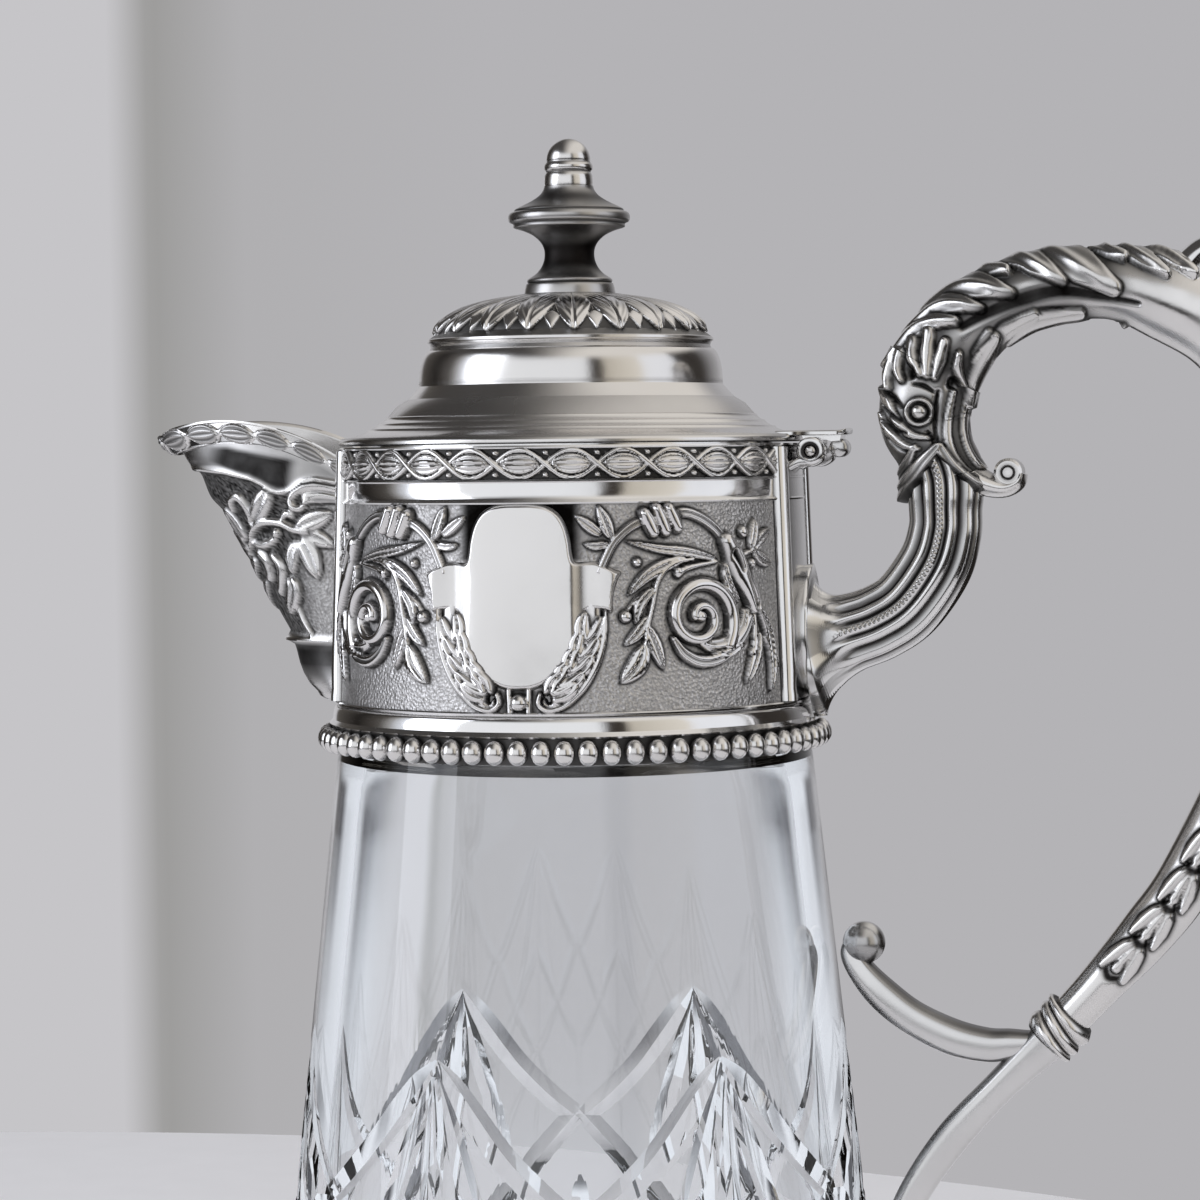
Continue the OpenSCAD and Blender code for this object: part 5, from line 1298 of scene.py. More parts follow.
# the arch and its bird-like head, seen from the side
archStrokes = [
    # upper row of blunt lobes, sweeping back from the outer edge
    *[(stampLobe, points, radii, 1.75, 2, 0.1) for points, radii in (
        ([(106.5, 266.8), (111, 265.4), (114.4, 263.4), (117, 261.4)], (0.7, 1.1, 1.2, 0.7)),
        ([(100.5, 267.6), (105, 265.8), (109, 263.6), (112, 261.6)], (0.7, 1.2, 1.4, 0.8)),
        ([(94, 267.8), (99, 267), (102, 265.6), (104.4, 264.6)], (0.7, 1.0, 1.0, 0.7)),
        ([(84, 266.5), (91, 266), (97.5, 262.6), (102.6, 259.4)], (0.9, 2.2, 3.0, 1.7)),
        ([(76.5, 263.2), (84, 265.2), (89.4, 263.2), (93.4, 260.6)], (0.8, 1.6, 2.0, 1.1)),
        ([(72, 259.8), (76.5, 262.6), (80, 263.1), (83.4, 262.6)], (0.8, 1.1, 1.2, 0.8)),
        ([(67.5, 255.5), (73, 259.6), (79, 259.9), (84, 258.6)], (0.9, 1.8, 2.3, 1.2)),
        ([(64.5, 251.5), (70, 256), (74.6, 256.8), (78.6, 256)], (0.8, 1.5, 1.7, 1.0)),
        ([(61, 246), (66, 252), (70, 253.6), (74, 253.8)], (0.8, 1.4, 1.6, 1.0)),
    )],
    # lower row along the inside of the arch
    *[(stampLobe, points, radii, 0.95, 1) for points, radii in (
        ([(89, 251.6), (96, 253), (104, 252.6)], (0.7, 1.2, 0.6)),
        ([(83, 250), (88.5, 253.8), (96.6, 255.2)], (0.8, 1.9, 0.9)),
        ([(79, 247), (82.5, 251.6), (88.2, 255)], (0.8, 1.9, 0.9)),
        ([(77, 243.5), (78, 247.6), (80, 251.6)], (0.8, 1.7, 1.0)),
    )],
    # crest over the head
    *[(stampLobe, points, radii, 1.45, 1) for points, radii in (
        ([(67.4, 244.4), (66.0, 247.4), (66.2, 250.4)], (0.8, 1.3, 0.9)),
        ([(70, 243.8), (71, 247), (72, 250.2)], (0.8, 1.4, 0.9)),
        ([(68.6, 244.2), (68.7, 248), (69.2, 252)], (0.9, 1.45, 1.0)),
        ([(63.9, 243.4), (63.2, 245.6), (63.8, 248.6)], (0.7, 1.0, 0.7)),
        ([(61.4, 242), (61.2, 244.4), (62.2, 247.4)], (0.7, 1.0, 0.6)),
        ([(74.6, 242.6), (74, 245.4), (74.4, 248)], (0.7, 1.1, 0.7)),
        ([(75.4, 238.6), (76.4, 243), (78.6, 247.6), (81, 251.4)], (0.6, 1.2, 1.5, 0.7)),
    )],
    *[(carve, [(x, z), (x + 0.1, z + 0.7)], (0.85, 0.8), 1.4) for x, z in (
        (65.7, 244.3),
        (73.0, 242.2),
    )],
    (carve, [(75, 253), (80, 255.4), (86, 257.6), (93, 259), (101, 257.6), (107, 256.4)],
     (1.0, 1.7, 2.0, 1.7, 1.0, 0.5), 0.65),
    # eye in its rings
    (stampTube, spiral((67.1, 237.4), 1, 2.3, 2.3, 0), (0.45,), 0.9, 0.3),
    (stampBall, (67.1, 237.4), 1.35, 1.5),
    # lids, beak and feathers round the eye
    (stampTube, [(61.2, 240.5), (62.6, 236.4), (65.4, 233.4), (69.2, 232.6)], (0.5, 0.8, 0.8, 0.4), 0.9, 0.4),
    (stampTube, [(59.6, 237.4), (60.8, 234.4), (63.6, 231.6), (67, 230.6)], (0.4, 0.9, 0.9, 0.4), 0.8, 0.4),
    (stampTube, [(59.5, 242), (61, 239), (62.6, 237)], (0.4, 0.7, 0.4), 0.8, 0.4),
    (stampTube, [(73.2, 241), (72.2, 236), (72.4, 231.4), (74.4, 227.4), (78, 224.4), (81.4, 223.4)],
     (0.5, 0.7, 0.75, 0.8, 0.7, 0.5), 0.8, 0.4),
    (stampTube, [(75.6, 241), (74.7, 236), (75.1, 231.8), (77, 228), (79.6, 225.6)],
     (0.4, 0.5, 0.5, 0.5, 0.4), 0.7, 0.4),
    (carve, [(70.6, 241), (70, 236), (70.4, 231.6), (71.6, 228.6)], (0.5, 0.6, 0.6, 0.5), 0.8),
    *[(carve, points, (0.3, 0.55, 0.3), 0.8) for points in (
        [(60.2, 241.6), (62, 240.2), (63.8, 238.4)],
        [(60, 238.8), (61.8, 237.2), (63.8, 235.8)],
        [(60.2, 236), (62.4, 234.4), (64.8, 233.6)],
        [(66, 242.6), (68, 242.2), (69.8, 241)],
        [(68.6, 233.8), (69.6, 232.2), (69.9, 230.6)],
        [(61, 232.6), (63.2, 230.8), (65.8, 230)],
    )],
    # V of the cuff
    (stampTube, [(66.2, 231), (64.2, 227.2), (61.4, 224)], (0.6, 1.1, 0.8), 0.9, 0.4, 0.2),
    (stampTube, [(70.2, 231), (67.0, 227), (64.0, 223.4), (60.8, 219.4)], (0.8, 1.5, 1.6, 0.9), 1.5, 0.45,
     0.3),
    (stampTube, [(70.6, 231), (73.0, 227), (76.6, 223.8), (81.2, 221.6)], (0.8, 1.2, 1.2, 0.8), 1.4, 0.45,
     0.3),
]


def reliefBar(name, line, sides, canvas, material, extra=None, fromDir=None, toDir=None, tone=None):
    points, normal, angle = barGrid(line, sides, fromDir, toDir)
    lift, shade = np.zeros(points.shape[:2]), np.zeros(points.shape[:2])
    if canvas is not None:
        lift, shade = (sample(canvas, field, points[..., 0], points[..., 2])
                       for field in (canvas["height"], tone))
    if extra is not None:
        more, dark = extra(line, angle, points)
        lift, shade = lift + more, np.maximum(shade, dark)
    return addSkin(name, points + normal * lift[..., None], material, tarnishAndShade=shade, sharp=60)


def neckFlutes(line, angle, points):
    # three reeds along each side, a beaded thread between them and a broad cove above and below
    length = np.concatenate([[0], np.cumsum(np.hypot(*np.diff(line[:, :2], axis=0).T))])[:, None]
    v = np.cos(angle)[None, :]
    fade = ramp(length, 3, 9)
    # grooves, the gaps between the beads and the socket's furrows are darkened: oxide and painted shade
    lift, dark = np.zeros(points.shape[:2]), np.zeros(points.shape[:2])
    for centre, width, depth in ((0.62, 0.1, 1.1), (0.25, 0.07, 1.0), (-0.13, 0.06, 0.8), (-0.52, 0.1, 1.1),
                                 (0.88, 0.04, 0.5), (-0.86, 0.04, 0.5)):
        dip = np.exp(-((v - centre) / width) ** 2) * (1 + 0 * length)
        lift -= depth * dip * fade
        dark = np.maximum(dark, dip * (0.4 + 0.57 * fade))
    thread = np.exp(-((v - 0.06) / 0.035) ** 2)
    beads = 0.5 + 0.5 * np.cos(2 * pi * length / 0.95)
    lift += 0.3 * thread * beads * fade
    dark = np.maximum(dark, thread * (1 - beads) * 0.9 * fade)
    flare = 1 - ramp(length, 0, 7)
    ridge = np.cos(angle * 6)[None, :] * 0.5 * flare
    return lift + ridge, np.maximum(dark, 0.5 * flare * (np.cos(angle * 6) < -0.3)[None, :])


def gripCanvas():
    # bellflowers hang one from the other down both sides of the stem
    canvas, h = newCanvas(86, 142, 118, 212, 0.24), handle
    line = part(18, 26)[::-1, :2]
    length = np.concatenate([[0], np.cumsum(np.hypot(*np.diff(line, axis=0).T))])
    for k in range(h["flowers"]):
        at = h["firstFlower"] + h["flowerPitch"] * k
        mouth, base = (np.array([np.interp(at + d, length, line[:, i]) for i in (0, 1)])
                       for d in (0, h["flowerLength"]))
        down = (mouth - base) / np.hypot(*(mouth - base))
        aside = np.array([-down[1], down[0]]) * (1 - 0.03 * k)
        rise = 0.9 + 0.05 * k
        # painted shade inside the mouth of each bell, carved in
        carve(canvas, [mouth + 0.2 * down - 1.7 * aside, mouth + 1.2 * down,
                       mouth + 0.2 * down + 1.7 * aside], (0.8, 0.9, 0.8), 0.35)
        stampLobe(canvas, [base + 2.5 * down, mouth - 1.0 * down], (0.7, 1.3, 0.9), rise * 0.85, 1)
        for sign in (-1, 1):
            stampLobe(canvas, [base, base + 3.4 * down + sign * 1.5 * aside,
                               mouth - 1.2 * down + sign * 2.2 * aside,
                               mouth + 0.3 * down + sign * 2.3 * aside],
                      (0.5, 1.15, 1.25, 0.5), rise, 1)
    return canvas


def makeHandle():
    canvas = newCanvas(54, 130, 216, 274, 0.24)
    pressAll(canvas, archStrokes)
    raised = ramp(canvas["height"], 0.1, 0.4)
    # painted shade: a soft dark halo round the raised forms, added to the oxide and painted shade of the
    # canvas, fading out at the far end of the arch
    near = np.clip(blur(blur(raised, 6), 6) * 1.5, 0, 0.8) * (1 - raised)
    tone = np.clip(0.1 + np.maximum(canvas["oxide"], near), 0, 0.97) * (1 - ramp(canvas["x"], 108, 118))
    neck = denser(part(0, 9), 4)
    neck[:, 2:] -= 0.35 * ramp(neck[:, 1:2], 221, 225.3) * (neck[:, :1] > 60)
    flare = np.exp(-(neck[:, 0] - 46.2) / 1.7) * (neck[:, 0] < 60)
    neck[:, 2] += 3.1 * flare
    neck[:, 3] += 0.9 * flare
    mount(reliefBar("handle_neck", neck, 192, None, polishedSilver, neckFlutes, fromDir=(1, 0)), "jug",
          "silver_polished", "handle_socket")
    cuff = denser(part(7, 8), 6)
    cuff[:, 2:] += 1.3 * np.linspace(1, 0, len(cuff))[:, None] ** 2

    def openV(line, angle, points):
        x, z = points[..., 0], points[..., 2]
        # painted shade inside the open V of the cuff
        below = np.minimum(229.6 - (70.2 - x) * 1.25, 229.4 - (x - 70.6) * 0.92) - z
        return -3.2 * ramp(below, 0.0, 0.5), 0.9 * ramp(below, -0.6, 0.2)
    mount(reliefBar("handle_cuff", cuff, 200, canvas, chasedSilver, openV, tone=tone), "jug", "silver_chased",
          "handle_leaf_collar")
    head = denser(part(8, 12), 3)
    headPiece = reliefBar("handle_bird_head", head, 200, canvas, chasedSilver, openV, tone=tone)
    mount(headPiece, "jug", "silver_chased", "handle_head")
    beakLine = smoothLine([(71, 229.5, 2.4, 5), (74.6, 226.4, 2.7, 4.8), (78.2, 224.2, 2.4, 4.4),
                           (81.8, 223.3, 1.9, 4), (84.4, 224.2, 1.5, 3.7), (85.3, 226, 1.0, 3.5)], 8)

    def beakShade(line, angle, points):
        # painted shade on one side of the beak
        return 0 * points[..., 0], 0.5 * ramp(np.cos(angle)[None, :], 0.2, 0.9) + 0 * points[..., 0]
    mount(reliefBar("handle_beak", beakLine, 48, None, chasedSilver, beakShade), "jug", "silver_chased")
    roll = [(0.02, -3.7), (0.9, -3.7), (1.15, -3.4), (1.45, -3.75), (2.1, -3.75), (2.6, -3.3), (2.65, -2.6)]
    roll += [(r, -y) for r, y in roll[::-1]]
    # dark in the groove of the roll: oxide and painted shade
    rollTone = [0, 0.2, 0.95, 0.3, 0, 0, 0.2]
    beakRoll = addTurned("handle_beak_roll", roll, chasedSilver, columns=48,
                         tarnishAndShade=rollTone + rollTone[::-1], sharp=40)
    x, z = handle["beakCurlAt"]
    beakRoll.data.transform(Matrix.Translation(Vector((x, 0, z)) * mm) @ Matrix.Rotation(-pi / 2, 4, "X"))
    mount(beakRoll, "jug", "silver_chased")
    arch = denser(part(12, 18), 4)
    arch[:, 2] -= 0.9 * (1 - ramp(arch[:, 0], 100, 112))
    mount(reliefBar("handle_leaf_arch", arch, 200, canvas, chasedSilver, tone=tone), "jug", "silver_chased",
          "handle_arch")
    curl = smoothLine([(112, 260.5, 3.2, 4.6), (114.6, 262.6, 2.8, 4.2), (118.1, 266, 2.4, 3.8),
                       (122.6, 267.4, 2.1, 3.6), (126.1, 265.4, 1.8, 3.4), (125.7, 262.6, 1.6, 3.2)], 8)
    mount(reliefBar("handle_thumb_curl", curl, 40, None, polishedSilver), "jug", "silver_polished")
    knotDir = np.array([-4.8, -5.2]) / math.hypot(4.8, 5.2)
    grip = denser(part(18, 26), 5)
    flowers = gripCanvas()
    mount(reliefBar("handle_stem", grip, 144, flowers, spunSilver, toDir=knotDir, tone=flowers["oxide"]),
          "jug", "silver_polished", "handle_grip")
    makeKnot(knotDir)
    makeFork(knotDir)


def makeMountPlate():
    # oval plate with a raised edge, bent to the collar behind it
    turn = np.arange(96) * 2 * pi / 96
    rings = []
    for x, share in ((43, 1.0), (45.3, 1.0), (45.9, 1.0), (46.15, 0.975), (46.2, 0.93), (45.9, 0.9),
                     (45.9, 0.86), (46.4, 0.8), (46.5, 0.6)):
        rings.append(np.stack([np.full(96, x), 9.4 * share * np.cos(turn),
                               196.9 + 12.1 * share * np.sin(turn)], -1))
    # darker at the raised edge's crease and where the plate meets the collar: oxide and painted shade
    tone = np.tile(np.array([0.5, 0.2, 0, 0, 0.1, 0.75, 0.6, 0.3, 0.3])[:, None], (1, 96))
    mount(addSkin("handle_plate", np.array(rings), polishedSilver, tarnishAndShade=tone), "jug", "silver_polished",
          "handle_mount_plate")


def makeKnot(direction):
    start = np.array(handle["stations"][26])
    length, turns = handle["knotLength"], handle["knotTurns"]
    t = np.linspace(0, 1, 60)
    swell = 0.75 + 0.95 * np.abs(np.sin(turns * pi * t)) ** 0.7
    line = np.stack([start[0] + direction[0] * length * t, start[1] + direction[1] * length * t,
                     3.9 + swell - 0.2 * t, 4.0 + swell - 0.2 * t], -1)

    points, normal, angle = barGrid(line, 64, direction, direction)
    lean = handle["knotLean"] * np.cos(angle)[None, :] * np.sin(pi * t)[:, None] ** 0.5
    points[..., 0] += direction[0] * lean
    points[..., 2] += direction[1] * lean
    # painted shade in the creases between the swells of the tie
    dark = 0.9 * np.exp(-(np.sin(turns * pi * t) / 0.3) ** 2)[:, None] + 0 * points[..., 0]
    mount(addSkin("handle_tie", points, chasedSilver, tarnishAndShade=dark, sharp=70), "jug", "silver_polished",
          "handle_knot")


def bevelBar(name, line, material, sides=64, fromDir=None, endShade=0.0):
    # bar with flat faces and soft bevels between them
    points, normal, angle = barGrid(line, sides, fromDir, square=0.62)
    # painted shade: darker on the inner side, and for the spur on the outer side near the collar
    inner, outer = ramp(-np.cos(angle)[None, :], 0.25, 0.85), ramp(np.cos(angle)[None, :], 0.1, 0.7)
    dark = np.clip(0.14 + 0.66 * inner + endShade * outer * ramp(64 - points[..., 0], 0, 7), 0, 0.95)
    return addSkin(name, points, material, tarnishAndShade=dark, sharp=50)


def makeFork(direction):
    tail = denser(part(27, 38), 1)
    mount(bevelBar("handle_tail", tail, polishedSilver, fromDir=direction), "jug", "silver_polished",
          "handle_fork")
    spur = smoothLine([(87.2, 120.6, 2.2, 3.2), (86.3, 120.2, 2.1, 3.1), (82.4, 119.8, 2.7, 3.3),
                       (77.9, 119.5, 3.1, 3.4), (71.6, 120.8, 3.3, 3.4), (64.2, 124.3, 3.1, 3.2),
                       (58.6, 128.6, 3.0, 3.0), (54.7, 132.9, 2.5, 2.7), (52.8, 136.4, 2.1, 2.4),
                       (53.6, 138.4, 1.7, 2.0)], 8)
    mount(bevelBar("handle_spur", spur, polishedSilver, endShade=0.75), "jug", "silver_polished")
    r, (x, z) = handle["ballR"], handle["ballAt"]
    half = [(r * math.cos(a), r * math.sin(a)) for a in np.linspace(-pi / 2 + 0.06, pi / 2 - 0.06, 22)]
    # painted shade: the ball darker towards its bottom
    ball = addTurned("handle_spur_ball", half + [(0.02, r - 0.01), (0.02, 0.01 - r)],
                     polishedSilver, columns=40, merge=True,
                     tarnishAndShade=[0.75 - 0.6 * k / 21 for k in range(22)] + [0.1, 0.75])
    ball.data.transform(Matrix.Translation(Vector((x, 0, z)) * mm))
    mount(ball, "jug", "silver_polished")


makeHandle()
makeMountPlate()
print("handle made")


# Hinge

hinge = {"x": 46.9, "z": 230.45, "knuckleR": 2.6, "pinR": 1.2, "fixedBore": 1.23, "movingBore": 1.26,
         "lugs": (3.7, 8.2), "middle": 3.5}


def pinTurned(name, profile, material, tone=None, x=0.0, z=0.0):
    piece = addTurned(name, profile, material, columns=56, tarnishAndShade=tone, sharp=35)
    place = Vector((hinge["x"] + x, 0, hinge["z"] + z)) * mm
    piece.data.transform(Matrix.Translation(place) @ Matrix.Rotation(-pi / 2, 4, "X"))
    return piece


def makeHinge():
    h = hinge
    r, (y1, y2), m = h["knuckleR"], h["lugs"], h["middle"]
    pin = [(0.02, -8.25), (0.5, -8.2), (0.85, -8.0), (1.1, -7.7), (h["pinR"], -7.35)]
    pin += [(radius, -y) for radius, y in pin[::-1]]
    mount(pinTurned("hinge_rod", pin, spunSilver, [0.1] * len(pin)), "jug", "silver_plain", "hinge_pin")
    lugs = []
    for s in (-1, 1):
        boss = [(h["fixedBore"], s * y1), (r - 0.2, s * y1), (r, s * (y1 + 0.2)), (r, s * (y2 - 0.5)),
                (r - 0.2, s * (y2 - 0.15)), (r - 0.6, s * y2), (r - 0.85, s * y2), (r - 1.0, s * (y2 - 0.25)),
                (h["fixedBore"], s * (y2 - 0.35))]
        # darker at the rims and by the bore, where parts meet: oxide and painted shade
        lugs.append(pinTurned("lug", boss[::s], polishedSilver, [0.6, 0.3, 0, 0, 0, 0, 0.5, 0.95, 0.95][::s]))
        arm = smoothLine([(41.6, 227.2, 1.2, 2.3), (43.4, 228.0, 0.95, 2.25), (44.6, 228.5, 0.95, 2.2),
                          (45.9, 228.65, 1.05, 2.2), (47.2, 228.7, 1.15, 2.2), (48.6, 229.2, 0.9, 2.1),
                          (49.2, 229.8, 0.5, 1.9)], 5)
        points, normal, angle = barGrid(arm, 32, square=0.6)
        points[..., 1] += s * (y1 + y2) / 2
        rel = np.hypot(points[..., 0] - h["x"], points[..., 2] - h["z"])
        push = np.where(rel < 1.5, 1.5 / np.maximum(rel, 0.1), 1)
        points[..., 0] = h["x"] + (points[..., 0] - h["x"]) * push
        points[..., 2] = h["z"] + (points[..., 2] - h["z"]) * push
        # painted shade on one side of each arm
        lugs.append(addSkin("lug", points, polishedSilver,
                            tarnishAndShade=0.15 + 0.6 * (angle < pi)[None, :] * np.abs(np.cos(angle))[None, :]
                            + 0 * points[..., 0]))
    mount(joinPieces("hinge_lugs", lugs), "jug", "silver_polished", "hinge_bracket")
    barrel = [(h["movingBore"], -m), (r - 0.25, -m), (r, -m + 0.25), (r, m - 0.25), (r - 0.25, m),
              (h["movingBore"], m)]
    # darker at the ends, where the knuckle meets the lugs: oxide and painted shade
    knuckle = pinTurned("knuckle", barrel, polishedSilver, [0.6, 0.3, 0, 0, 0.3, 0.6])
    roll = [(0.02, -3.2), (1.1, -3.1), (1.6, -2.8), (1.75, -2.2), (1.75, 2.2), (1.6, 2.8), (1.1, 3.1),
            (0.02, 3.2)]
    tail = pinTurned("roll", roll, polishedSilver, [0.2] * 8, 4.5, 0.55)
    webSide = (45.0, 232.5), (49.3, 232.5), (50.3, 232.2), (51.8, 232.4), (52.0, 233.5), (44.6, 233.5)
    web = addSkin("web", np.array([[(x, y, z) for x, z in webSide]
                                   for y in (-3.1, 3.1)]), polishedSilver)
    strapRows = smoothLine([(40.4, 8.0), (41.5, 8.1), (43.5, 7.7), (45.5, 6.9), (47.5, 6.3), (49.5, 6.1),
                            (51.3, 6.0), (52.6, 5.4), (53.1, 4.6)], 4)
    strap = []
    for x, y in strapRows:
        lift = 0.35 * max(0, (x - 51.5) / 1.6) ** 2
        strap.append([(x, -y, 233.5 + lift), (x, -y + 0.25, 233.36 + lift), (x, y - 0.25, 233.36 + lift),
                      (x, y, 233.5 + lift), (x, y, 234.05 + lift), (x, y - 0.35, 234.25 + lift),
                      (x, 0, 234.4 + lift), (x, -y + 0.35, 234.25 + lift), (x, -y, 234.05 + lift)])
    plate = addSkin("strap", np.array(strap), polishedSilver)
    mount(joinPieces("hinge_strap", [plate, knuckle, tail, web]), "lid", "silver_polished", "hinge_leaf")


makeHinge()
print("hinge made")


# Finishes of the CAD nodes that stay in view

nodeFinishes = {
    "collar_bezel": polishedSilver, "lid_bezel": polishedSilver, "finial_stud": turnedNickel,
    "finial_washer": turnedNickel, "finial_nut": turnedNickel, "plaster_bed": settingPlaster,
}
for nodeName, finish in nodeFinishes.items():
    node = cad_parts[nodeName]
    node.data.materials.clear()
    node.data.materials.append(finish)


# Floor, backdrop and lights

studio = {
    "floorR": 0.6, "floorAt": (-0.2, -0.115), "floorColour": "#F1F0F3", "wall": "#B4B3B6",
    "wallFar": "#B0AFB1",
    "column": "#C6C5C8", "edge": "#9C9B9A", "ambient": "#C9CACD", "ambientStrength": 0.62,
    # what the silver sees round the room: degrees from the front towards the handle, and the colour there
    "room": ((-180, "#B4B3B6"), (-163, "#B4B3B6"), (-158, "#C6C5C8"), (-146, "#C6C5C8"), (-142, "#55514D"),
             (-112, "#1F1C1A"), (-92, "#4B4743"), (-86, "#8F8D8B"), (-78, "#DDE1EA"), (-58, "#EEF1F7"),
             (-55, "#6F7176"), (-52, "#F6F8FC"), (24, "#F1F3F7"), (29, "#3A332D"), (35, "#2B2622"),
             (40, "#C9C2B6"), (66, "#E4DED4"), (72, "#F4F6FC"), (99, "#F4F6FC"), (104, "#2C2825"),
             (132, "#3A3633"), (150, "#8D8C8E"), (172, "#B4B3B6"), (180, "#B4B3B6")),
    "ceilingDark": "#464443", "ceilingPale": "#E6E2DD", "roomFloor": "#1F1C1A", "crystalGlow": "#EDF1F8",
    "streak": "#55565C",
    # lamps: name, place and size in metres, watts, colour, and whether the silver mirrors them
    "lamps": (("window_left", (-1.25, -0.75, 0.6), (0.8, 1.3), 5.5, "#F1F5FF", True),
              ("window_right", (1.15, -0.85, 0.65), (0.5, 0.9), 2.3, "#FFF3E2", False),
              ("overhead", (0.0, -0.1, 1.5), (1.2, 0.9), 9.5, "#FFFFFF", False)),
    "lampTarget": (0, 0, 0.17),
}


def makeFloor():
    count = 160
    angle = np.arange(count) * 2 * pi / count
    r, (x, y) = studio["floorR"] / mm, studio["floorAt"]
    x, y = x / mm + r * np.cos(angle), y / mm + r * np.sin(angle)
    rings = np.array([np.stack([x, y, np.full(count, z)], -1) for z in (-8, -0.02)])
    material, tree, place = newMaterial("pale_table")
    grain = addNode(tree, "TexNoise", None, {"Vector": place, "Scale": 60.0, "Detail": 3.0})
    colour = addNode(tree, "Mix", {"data_type": "RGBA"},
                     {"Factor": grain.outputs["Fac"], "A": toLinear(studio["floorColour"]),
                      "B": toLinear("#EBEAED")})
    shader = addNode(tree, "BsdfPrincipled", None, {"Base Color": colour.outputs["Result"], "Roughness": 0.6})
    addNode(tree, "OutputMaterial", None, {"Surface": shader.outputs[0]})
    addSkin("table_top", rings, material)


def addRamp(tree, factor, stops):
    node = addNode(tree, "ValToRGB", None, {"Fac": factor})
    elements = node.color_ramp.elements
    for element, (place, colour) in zip(list(elements), (stops[0], stops[-1])):
        element.position, element.color = place, toLinear(colour)
    for place, colour in stops[1:-1]:
        elements.new(place).color = toLinear(colour)
    return node.outputs["Color"]


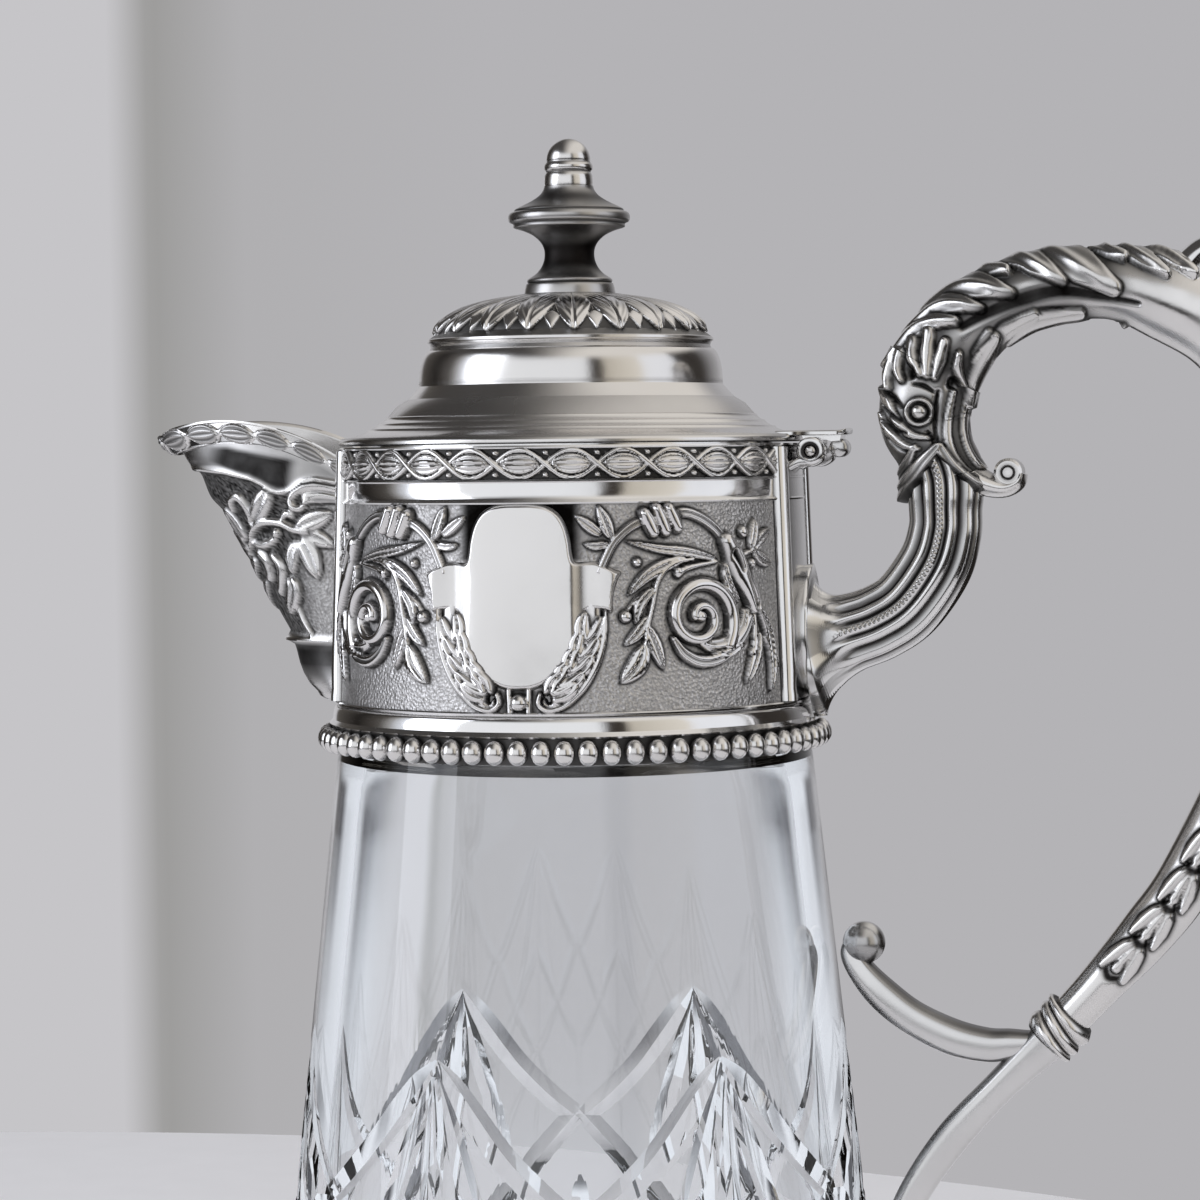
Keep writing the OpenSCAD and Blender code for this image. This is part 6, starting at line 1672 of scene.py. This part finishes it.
def makeWorld():
    world = bpy.data.worlds.new("studio")
    bpy.context.scene.world = world
    world.use_nodes = True
    tree = world.node_tree
    tree.nodes.clear()
    way = addNode(tree, "TexCoord").outputs["Generated"]
    parts = addNode(tree, "SeparateXYZ", None, {"Vector": way})
    # behind the jug: the pale column on the left, its soft edge and the wall
    turn = addNode(tree, "Math", {"operation": "ARCTAN2"}, {0: parts.outputs["X"], 1: parts.outputs["Y"]})
    behind = addNode(tree, "Math", {"operation": "MULTIPLY_ADD"},
                     {0: turn.outputs[0], 1: -180 / pi / 40, 2: 0.0})
    s = studio
    picture = addRamp(tree, behind.outputs[0], ((0.05, s["wall"]), (0.35, s["wall"]), (0.45, s["wallFar"]),
                                                (0.487, s["edge"]), (0.503, s["column"]), (0.62, s["column"]),
                                                (0.75, s["wall"])))
    # round the room, for the silver
    back = addNode(tree, "Math", {"operation": "MULTIPLY"}, {0: parts.outputs["Y"], 1: -1.0})
    around = addNode(tree, "Math", {"operation": "ARCTAN2"}, {0: parts.outputs["X"], 1: back.outputs[0]})
    share = addNode(tree, "Math", {"operation": "MULTIPLY_ADD"}, {0: around.outputs[0], 1: 0.5 / pi, 2: 0.5})
    level = addRamp(tree, share.outputs[0], [(angle / 360 + 0.5, colour) for angle, colour in s["room"]])
    height = parts.outputs["Z"]
    up = addNode(tree, "MapRange", {"interpolation_type": "SMOOTHSTEP"},
                 {"Value": height, "From Min": 0.42, "From Max": 0.66})
    down = addNode(tree, "MapRange", {"interpolation_type": "SMOOTHSTEP"},
                   {"Value": height, "From Min": -0.07, "From Max": -0.2})
    across = addNode(tree, "MapRange", {"interpolation_type": "SMOOTHSTEP"},
                     {"Value": parts.outputs["X"], "From Min": -0.38, "From Max": 0.35})
    ceiling = addNode(tree, "Mix", {"data_type": "RGBA"},
                      {"Factor": across.outputs["Result"], "A": toLinear(s["ceilingDark"]),
                       "B": toLinear(s["ceilingPale"])})
    upper = addNode(tree, "Mix", {"data_type": "RGBA"},
                    {"Factor": up.outputs["Result"], "A": level, "B": ceiling.outputs["Result"]})
    room = addNode(tree, "Mix", {"data_type": "RGBA"},
                   {"Factor": down.outputs["Result"], "A": upper.outputs["Result"],
                    "B": toLinear(s["roomFloor"])})
    # through the crystal: the wall straight behind, pale light to the sides
    middle = addNode(tree, "Math", {"operation": "ADD"}, {0: turn.outputs[0], 1: 0.22})
    aside = addNode(tree, "Math", {"operation": "ABSOLUTE"}, {0: middle.outputs[0]})
    above = addNode(tree, "Math", {"operation": "ABSOLUTE"}, {0: height})
    apart = addNode(tree, "Math", {"operation": "MAXIMUM"}, {0: aside.outputs[0], 1: above.outputs[0]})
    clear = addNode(tree, "MapRange", {"interpolation_type": "SMOOTHSTEP"},
                    {"Value": apart.outputs[0], "From Min": 0.15, "From Max": 0.34})
    sideways = addNode(tree, "Math", {"operation": "DIVIDE"}, {0: aside.outputs[0], 1: pi})
    streaks = addRamp(tree, sideways.outputs[0], [(0.0, s["streak"]), (0.14, s["streak"]),
                                                  (0.18, s["crystalGlow"]), (0.27, s["crystalGlow"]),
                                                  (0.3, s["streak"]), (0.34, s["streak"]),
                                                  (0.37, s["crystalGlow"]), (1.0, s["crystalGlow"])])
    tilted = addNode(tree, "MapRange", {"interpolation_type": "SMOOTHSTEP"},
                     {"Value": above.outputs[0], "From Min": 0.05, "From Max": 0.14})
    spread = addNode(tree, "Mix", {"data_type": "RGBA"},
                     {"Factor": tilted.outputs["Result"], "A": streaks, "B": toLinear(s["crystalGlow"])})
    beyond = addNode(tree, "Mix", {"data_type": "RGBA"},
                     {"Factor": clear.outputs["Result"], "A": picture, "B": spread.outputs["Result"]})
    ray = addNode(tree, "LightPath")
    lit = addNode(tree, "Background", None, {"Color": toLinear(s["ambient"]),
                                             "Strength": s["ambientStrength"]})
    for flag, colour in (("Is Glossy Ray", room.outputs["Result"]),
                         ("Is Transmission Ray", beyond.outputs["Result"]), ("Is Camera Ray", picture)):
        seen = addNode(tree, "Background", None, {"Color": colour, "Strength": 1.0})
        lit = addNode(tree, "MixShader", None, {0: ray.outputs[flag], 1: lit.outputs[0], 2: seen.outputs[0]})
    addNode(tree, "OutputWorld", None, {"Surface": lit.outputs[0]})


def addLamp(name, place, size, power, colour, mirrored):
    data = bpy.data.lights.new(name, "AREA")
    data.shape = "RECTANGLE"
    data.size, data.size_y = size
    data.energy = power
    data.color = toLinear(colour)[:3]
    lamp = bpy.data.objects.new(name, data)
    bpy.context.collection.objects.link(lamp)
    place = Vector(place)
    aim = (Vector(studio["lampTarget"]) - place).to_track_quat("-Z", "Y")
    lamp.matrix_world = Matrix.Translation(place) @ aim.to_matrix().to_4x4()
    lamp.visible_glossy, lamp.visible_transmission = mirrored, False


makeFloor()
makeWorld()
for lampLook in studio["lamps"]:
    addLamp(*lampLook)
print("studio made")

bpy.context.scene.view_settings.view_transform = "Standard"
